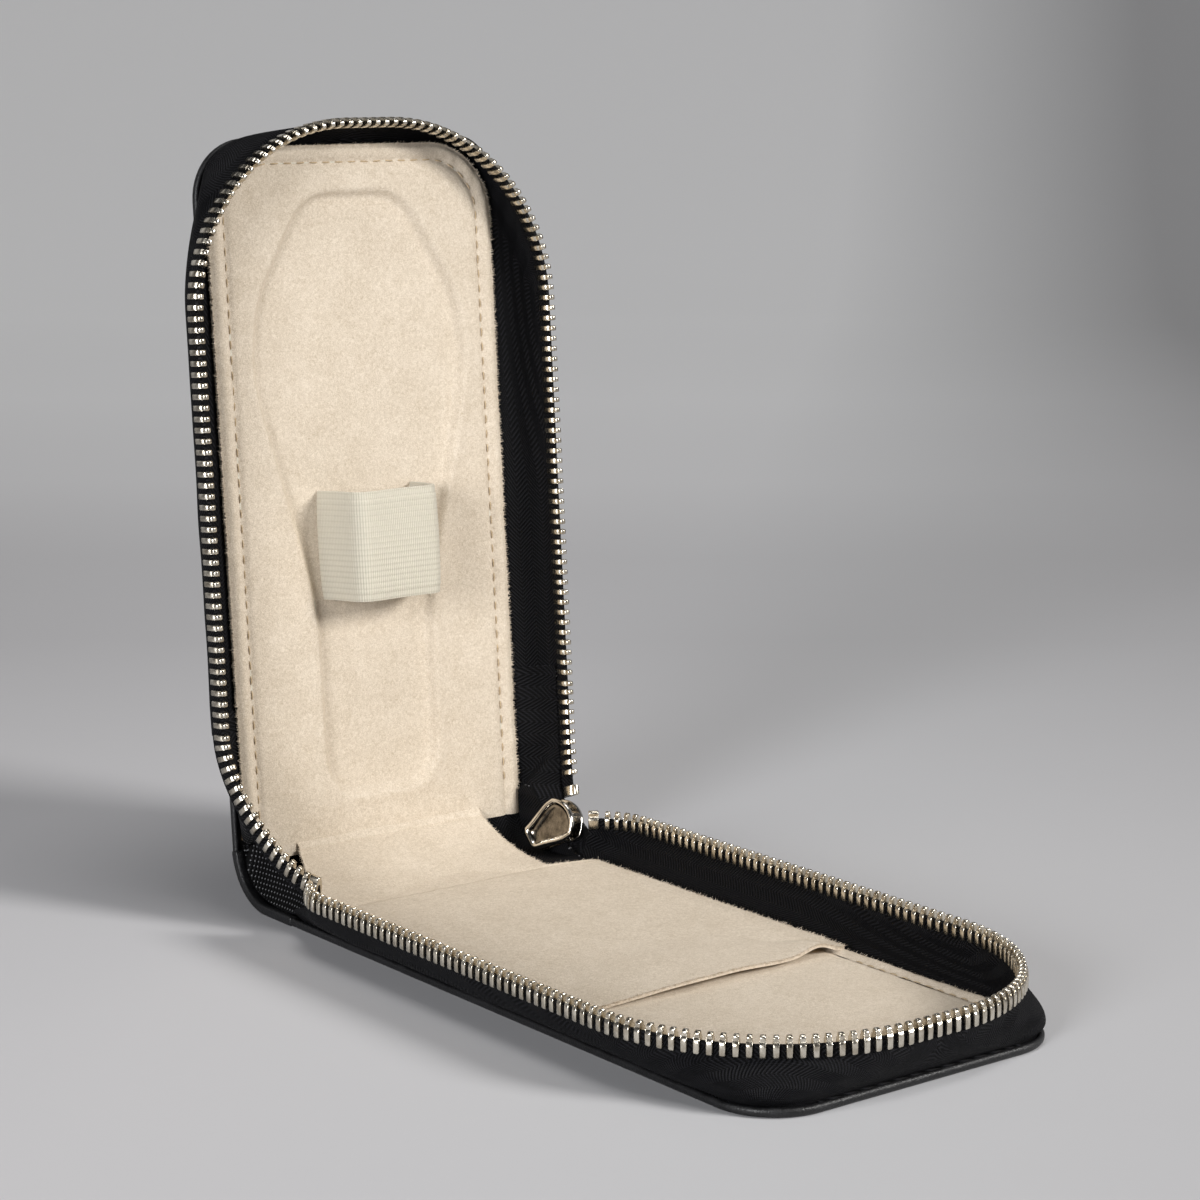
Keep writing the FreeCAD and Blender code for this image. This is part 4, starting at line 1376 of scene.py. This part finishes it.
# Plate outline: a bowed mouth, straight shoulders, a taper and a rounded tail
def slider_outline(shrink):
    mouth, tail, end = slider_mouth_half - shrink, slider_tail_half - shrink, slider_length - shrink
    shoulder, taper, tail_round = 3.0, 5.0, 1.2
    radius = (slider_mouth_half ** 2 + shoulder ** 2) / (2 * shoulder) - shrink
    reach = math.asin(min(1.0, mouth / radius))
    right = [(radius * math.sin(angle), radius + shrink - radius * math.cos(angle))
             for angle in np.linspace(0, reach, 12)]
    right += [(mouth, y) for y in np.linspace(right[-1][1], taper, 4)[1:]]
    for t in np.linspace(0, 1, 14)[1:]:
        right.append((lerp(mouth, tail, smooth(t) * 0.35 + t * 0.65), lerp(taper, end - tail_round, t)))
    right += [(-x, y) for x, y in quarter(-tail, end - tail_round, tail_round, 5)]
    return right + mirrored(right[1:])


# Closed form through outlines of one length, each with its height, with flat ends
def stacked(levels):
    size = len(levels[0][0])
    points = [Vector((x, y, z)) for outline, z in levels for x, y in outline]
    faces = grid_faces(len(levels), size, ring=True)
    return points, faces + [tuple(range(size)), tuple(range(len(points) - size, len(points)))]


def slider():
    gap, plate = slider_half_gap, slider_plate
    wall_start, wall_end, wall_width, tape_slot = 5.0, 13.0, 0.9, 0.7
    inner_levels = [(0.15, 0.0), (0.0, 0.2), (0.0, 0.75), (0.12, 0.98), (0.35, plate), (0.75, 1.12),
                    (1.0, 0.95), (1.15, 0.6), (1.35, 0.38), (1.7, 0.22), (2.1, 0.12), (2.5, 0.08)]
    outer_levels = [(0.15, 0.0), (0.0, 0.2), (0.0, 0.8), (0.2, 1.02), (0.55, plate)]
    dish_level = 7
    wedge_right = [(0, 0.8), (1.4, 2.0), (1.7, 2.8), (1.1, 5.2), (0, 8.6)]
    wedge = wedge_right + mirrored(wedge_right[1:-1])
    forms = [stacked([(slider_outline(shrink), gap + up) for shrink, up in inner_levels]),
             stacked([(slider_outline(shrink), -gap - down) for shrink, down in outer_levels]),
             stacked([(wedge, -gap), (wedge, gap)])]
    for hand in (-1, 1):
        edge = [(hand * lerp(slider_mouth_half, slider_tail_half, t), lerp(wall_start, wall_end, t))
                for t in np.linspace(0, 1, 7)]
        wall = edge + [(x - hand * wall_width, y) for x, y in reversed(edge)]
        forms += [stacked([(wall, tape_slot), (wall, gap)]), stacked([(wall, -gap), (wall, -tape_slot)])]
    origin, way, across, inward = slider_frame()
    points, faces = placed(merged(*forms), origin, across, way, inward)
    obj = piece("slider_polished", points, faces, slider_metal)
    obj.data.materials.append(painted_dark_dish_metal)
    size = len(slider_outline(0))
    # Faces inside the dish get the painted-dark metal
    last_level = len(inner_levels) - 1
    for index in [*range(dish_level * size, last_level * size), last_level * size + 1]:
        obj.data.polygons[index].material_index = 1
    add_bevel(finish_mesh(obj), 0.12, 2)
    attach(obj, "slider")
    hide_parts("zip_slider")


# Carried-over solids keep their shape and get a finish
def finish_solids():
    finishes = {"base_stiffener_board": board_finish, "lid_stiffener_board": board_finish,
                "base_foam_pad": foam_finish, "lid_foam_pad": foam_finish,
                "slider_bail": slider_metal, "zip_puller": slider_metal}
    for node, finish in finishes.items():
        obj = frame["nodes"][node]
        obj.data.materials.clear()
        obj.data.materials.append(finish)
    for node in ("slider_bail", "zip_puller"):
        obj = frame["nodes"][node]
        weld = obj.modifiers.new("weld", "WELD")
        weld.merge_threshold = 0.001 * mm
        add_bevel(obj, 0.22)


# Stage, light and camera

view_target = Vector((34.94, 65.42, 68.95)) * mm
view_azimuth = math.radians(-37.90)
view_elevation = math.radians(10.49)
view_roll = math.radians(0.10)
view_distance = 0.6983


def look_at(obj, target, roll=0.0):
    way = (target - obj.location).to_track_quat("-Z", "Y").to_matrix().to_4x4()
    obj.rotation_euler = (way @ Matrix.Rotation(roll, 4, "Z")).to_euler()


def camera():
    data = bpy.data.cameras.new("camera")
    data.lens = 90.0
    data.sensor_width = 36.0
    data.clip_end = 20.0
    obj = bpy.data.objects.new("camera", data)
    bpy.context.scene.collection.objects.link(obj)
    flat = math.cos(view_elevation)
    back = Vector((math.sin(view_azimuth) * flat, -math.cos(view_azimuth) * flat, math.sin(view_elevation)))
    obj.location = view_target + back * view_distance
    look_at(obj, view_target, view_roll)
    bpy.context.scene.camera = obj


def lamp(name, place, size, watts, colour, spread):
    data = bpy.data.lights.new(name, "AREA")
    data.shape = "DISK"
    data.size = size
    data.energy = watts
    data.color = colour
    data.spread = math.radians(spread)
    obj = bpy.data.objects.new(name, data)
    bpy.context.scene.collection.objects.link(obj)
    obj.location = place
    look_at(obj, Vector((0, 0.05, 0.07)))


# Seamless paper: a flat floor that sweeps up into a wall all round. Its colour darkens to the right as
# painted light falloff, and it glows for camera and glossy rays, more with distance, as painted light.
def backdrop():
    finish = Finish("paper", Specular_IOR_Level=0.1, Roughness=0.95)

    def run(way, start):
        node = finish.add("ShaderNodeVectorMath", {"operation": "DOT_PRODUCT"}, _0=finish.place(), _1=way)
        return finish.math("SUBTRACT", node.outputs["Value"], start)

    forward, rightward = (0.6143, 0.7891, 0.0), (0.7891, -0.6143, 0.0)
    # Paper colour: painted light falloff, darker towards the right, with a little real mottle
    paper = [(0.0, rgb(203, 202, 204)), (0.45, rgb(195, 195, 197)), (1.0, rgb(180, 179, 181))]
    painted_glow_by_depth = [(0.0, grey(0.01)), (0.1, grey(0.06)), (0.23, grey(0.17)), (0.43, grey(0.26)),
               (0.74, grey(0.32)), (1.0, grey(0.31))]
    floor_radius, sweep, wall_height, sides = 1.6, 0.9, 2.2, 72
    depth = run(forward, 0.073)
    side = finish.math("SUBTRACT", run(rightward, -0.013), finish.math("MULTIPLY", depth, 0.12))
    shade = finish.spread(side, -0.08, 0.24, 0.0, 1.0)
    painted_falloff_and_mottle = finish.math("ADD", shade, finish.math("MULTIPLY", finish.grain(60.0, 3.0), 0.06))
    finish.colour(finish.ramp(painted_falloff_and_mottle, paper))
    # Glow that rises with distance and fades to the right: painted light on the backdrop
    far = finish.ramp(finish.spread(depth, 0.3, 1.9, 0.0, 1.0), painted_glow_by_depth)
    painted_glow = finish.math("MULTIPLY", far, finish.spread(shade, 0.2, 1.1, 1.0, 0.3))
    # The glow shows to the camera and in glossy reflections, so the metal shows painted reflections of it
    ray = finish.add("ShaderNodeLightPath").outputs
    seen = finish.math("MAXIMUM", ray["Is Camera Ray"], ray["Is Glossy Ray"])
    finish.put(finish.shader.inputs["Emission Color"], (1.0, 1.0, 1.0, 1.0))
    finish.put(finish.shader.inputs["Emission Strength"], finish.math("MULTIPLY", painted_glow, seen))
    rings = [(0.0, floor_radius)] + quarter(0.0, floor_radius, sweep, 12)
    rings.append((wall_height, floor_radius + sweep))
    points = [Vector((math.cos(math.tau * k / sides) * r, math.sin(math.tau * k / sides) * r, z)) / mm
              for z, r in rings for k in range(sides)]
    faces = [tuple(range(sides))]
    faces += [tuple(reversed(face)) for face in grid_faces(len(rings), sides, ring=True)]
    obj = piece("paper_backdrop", points, faces, finish.material)
    obj.data.polygons.foreach_set("use_smooth", [True] * len(obj.data.polygons))


def lights():
    world = bpy.data.worlds.new("studio")
    world.use_nodes = True
    background = world.node_tree.nodes["Background"]
    background.inputs["Color"].default_value = (0.93, 0.96, 1.0, 1.0)
    background.inputs["Strength"].default_value = 0.05
    bpy.context.scene.world = world
    lamp("key", Vector((0.66, -1.05, 0.64)), size=0.4, watts=5.5, colour=(1.0, 0.985, 0.965), spread=100)
    lamp("top", Vector((0.05, -0.25, 1.70)), size=0.7, watts=7.2, colour=(1.0, 0.99, 0.98), spread=180)
    lamp("fill", Vector((-1.35, -0.55, 0.42)), size=0.6, watts=2.3, colour=(0.97, 0.98, 1.0), spread=60)
    bpy.context.scene.view_settings.view_transform = "Standard"


leather_cover("base_leather_cover", base_point, "base", "base_cover_leather")
leather_cover("lid_leather_cover", lid_point, "lid", "lid_cover_leather")
spine_leather()
base_lining()
lid_lining()
lining_stitches("lid_stitches", lid_point, "lid", rear=9.0, draw=random.Random(seed + 3))
lining_stitches("base_stitches", base_point, "base", rear=pocket_mouth + 5.0, draw=random.Random(seed + 4))
pocket_sheet()
zip_rows()
gusset(-1, "left", tuck=2.0)
gusset(1, "right", tuck=-1.0)
elastic_strap()
slider()
finish_solids()
backdrop()
lights()
camera()
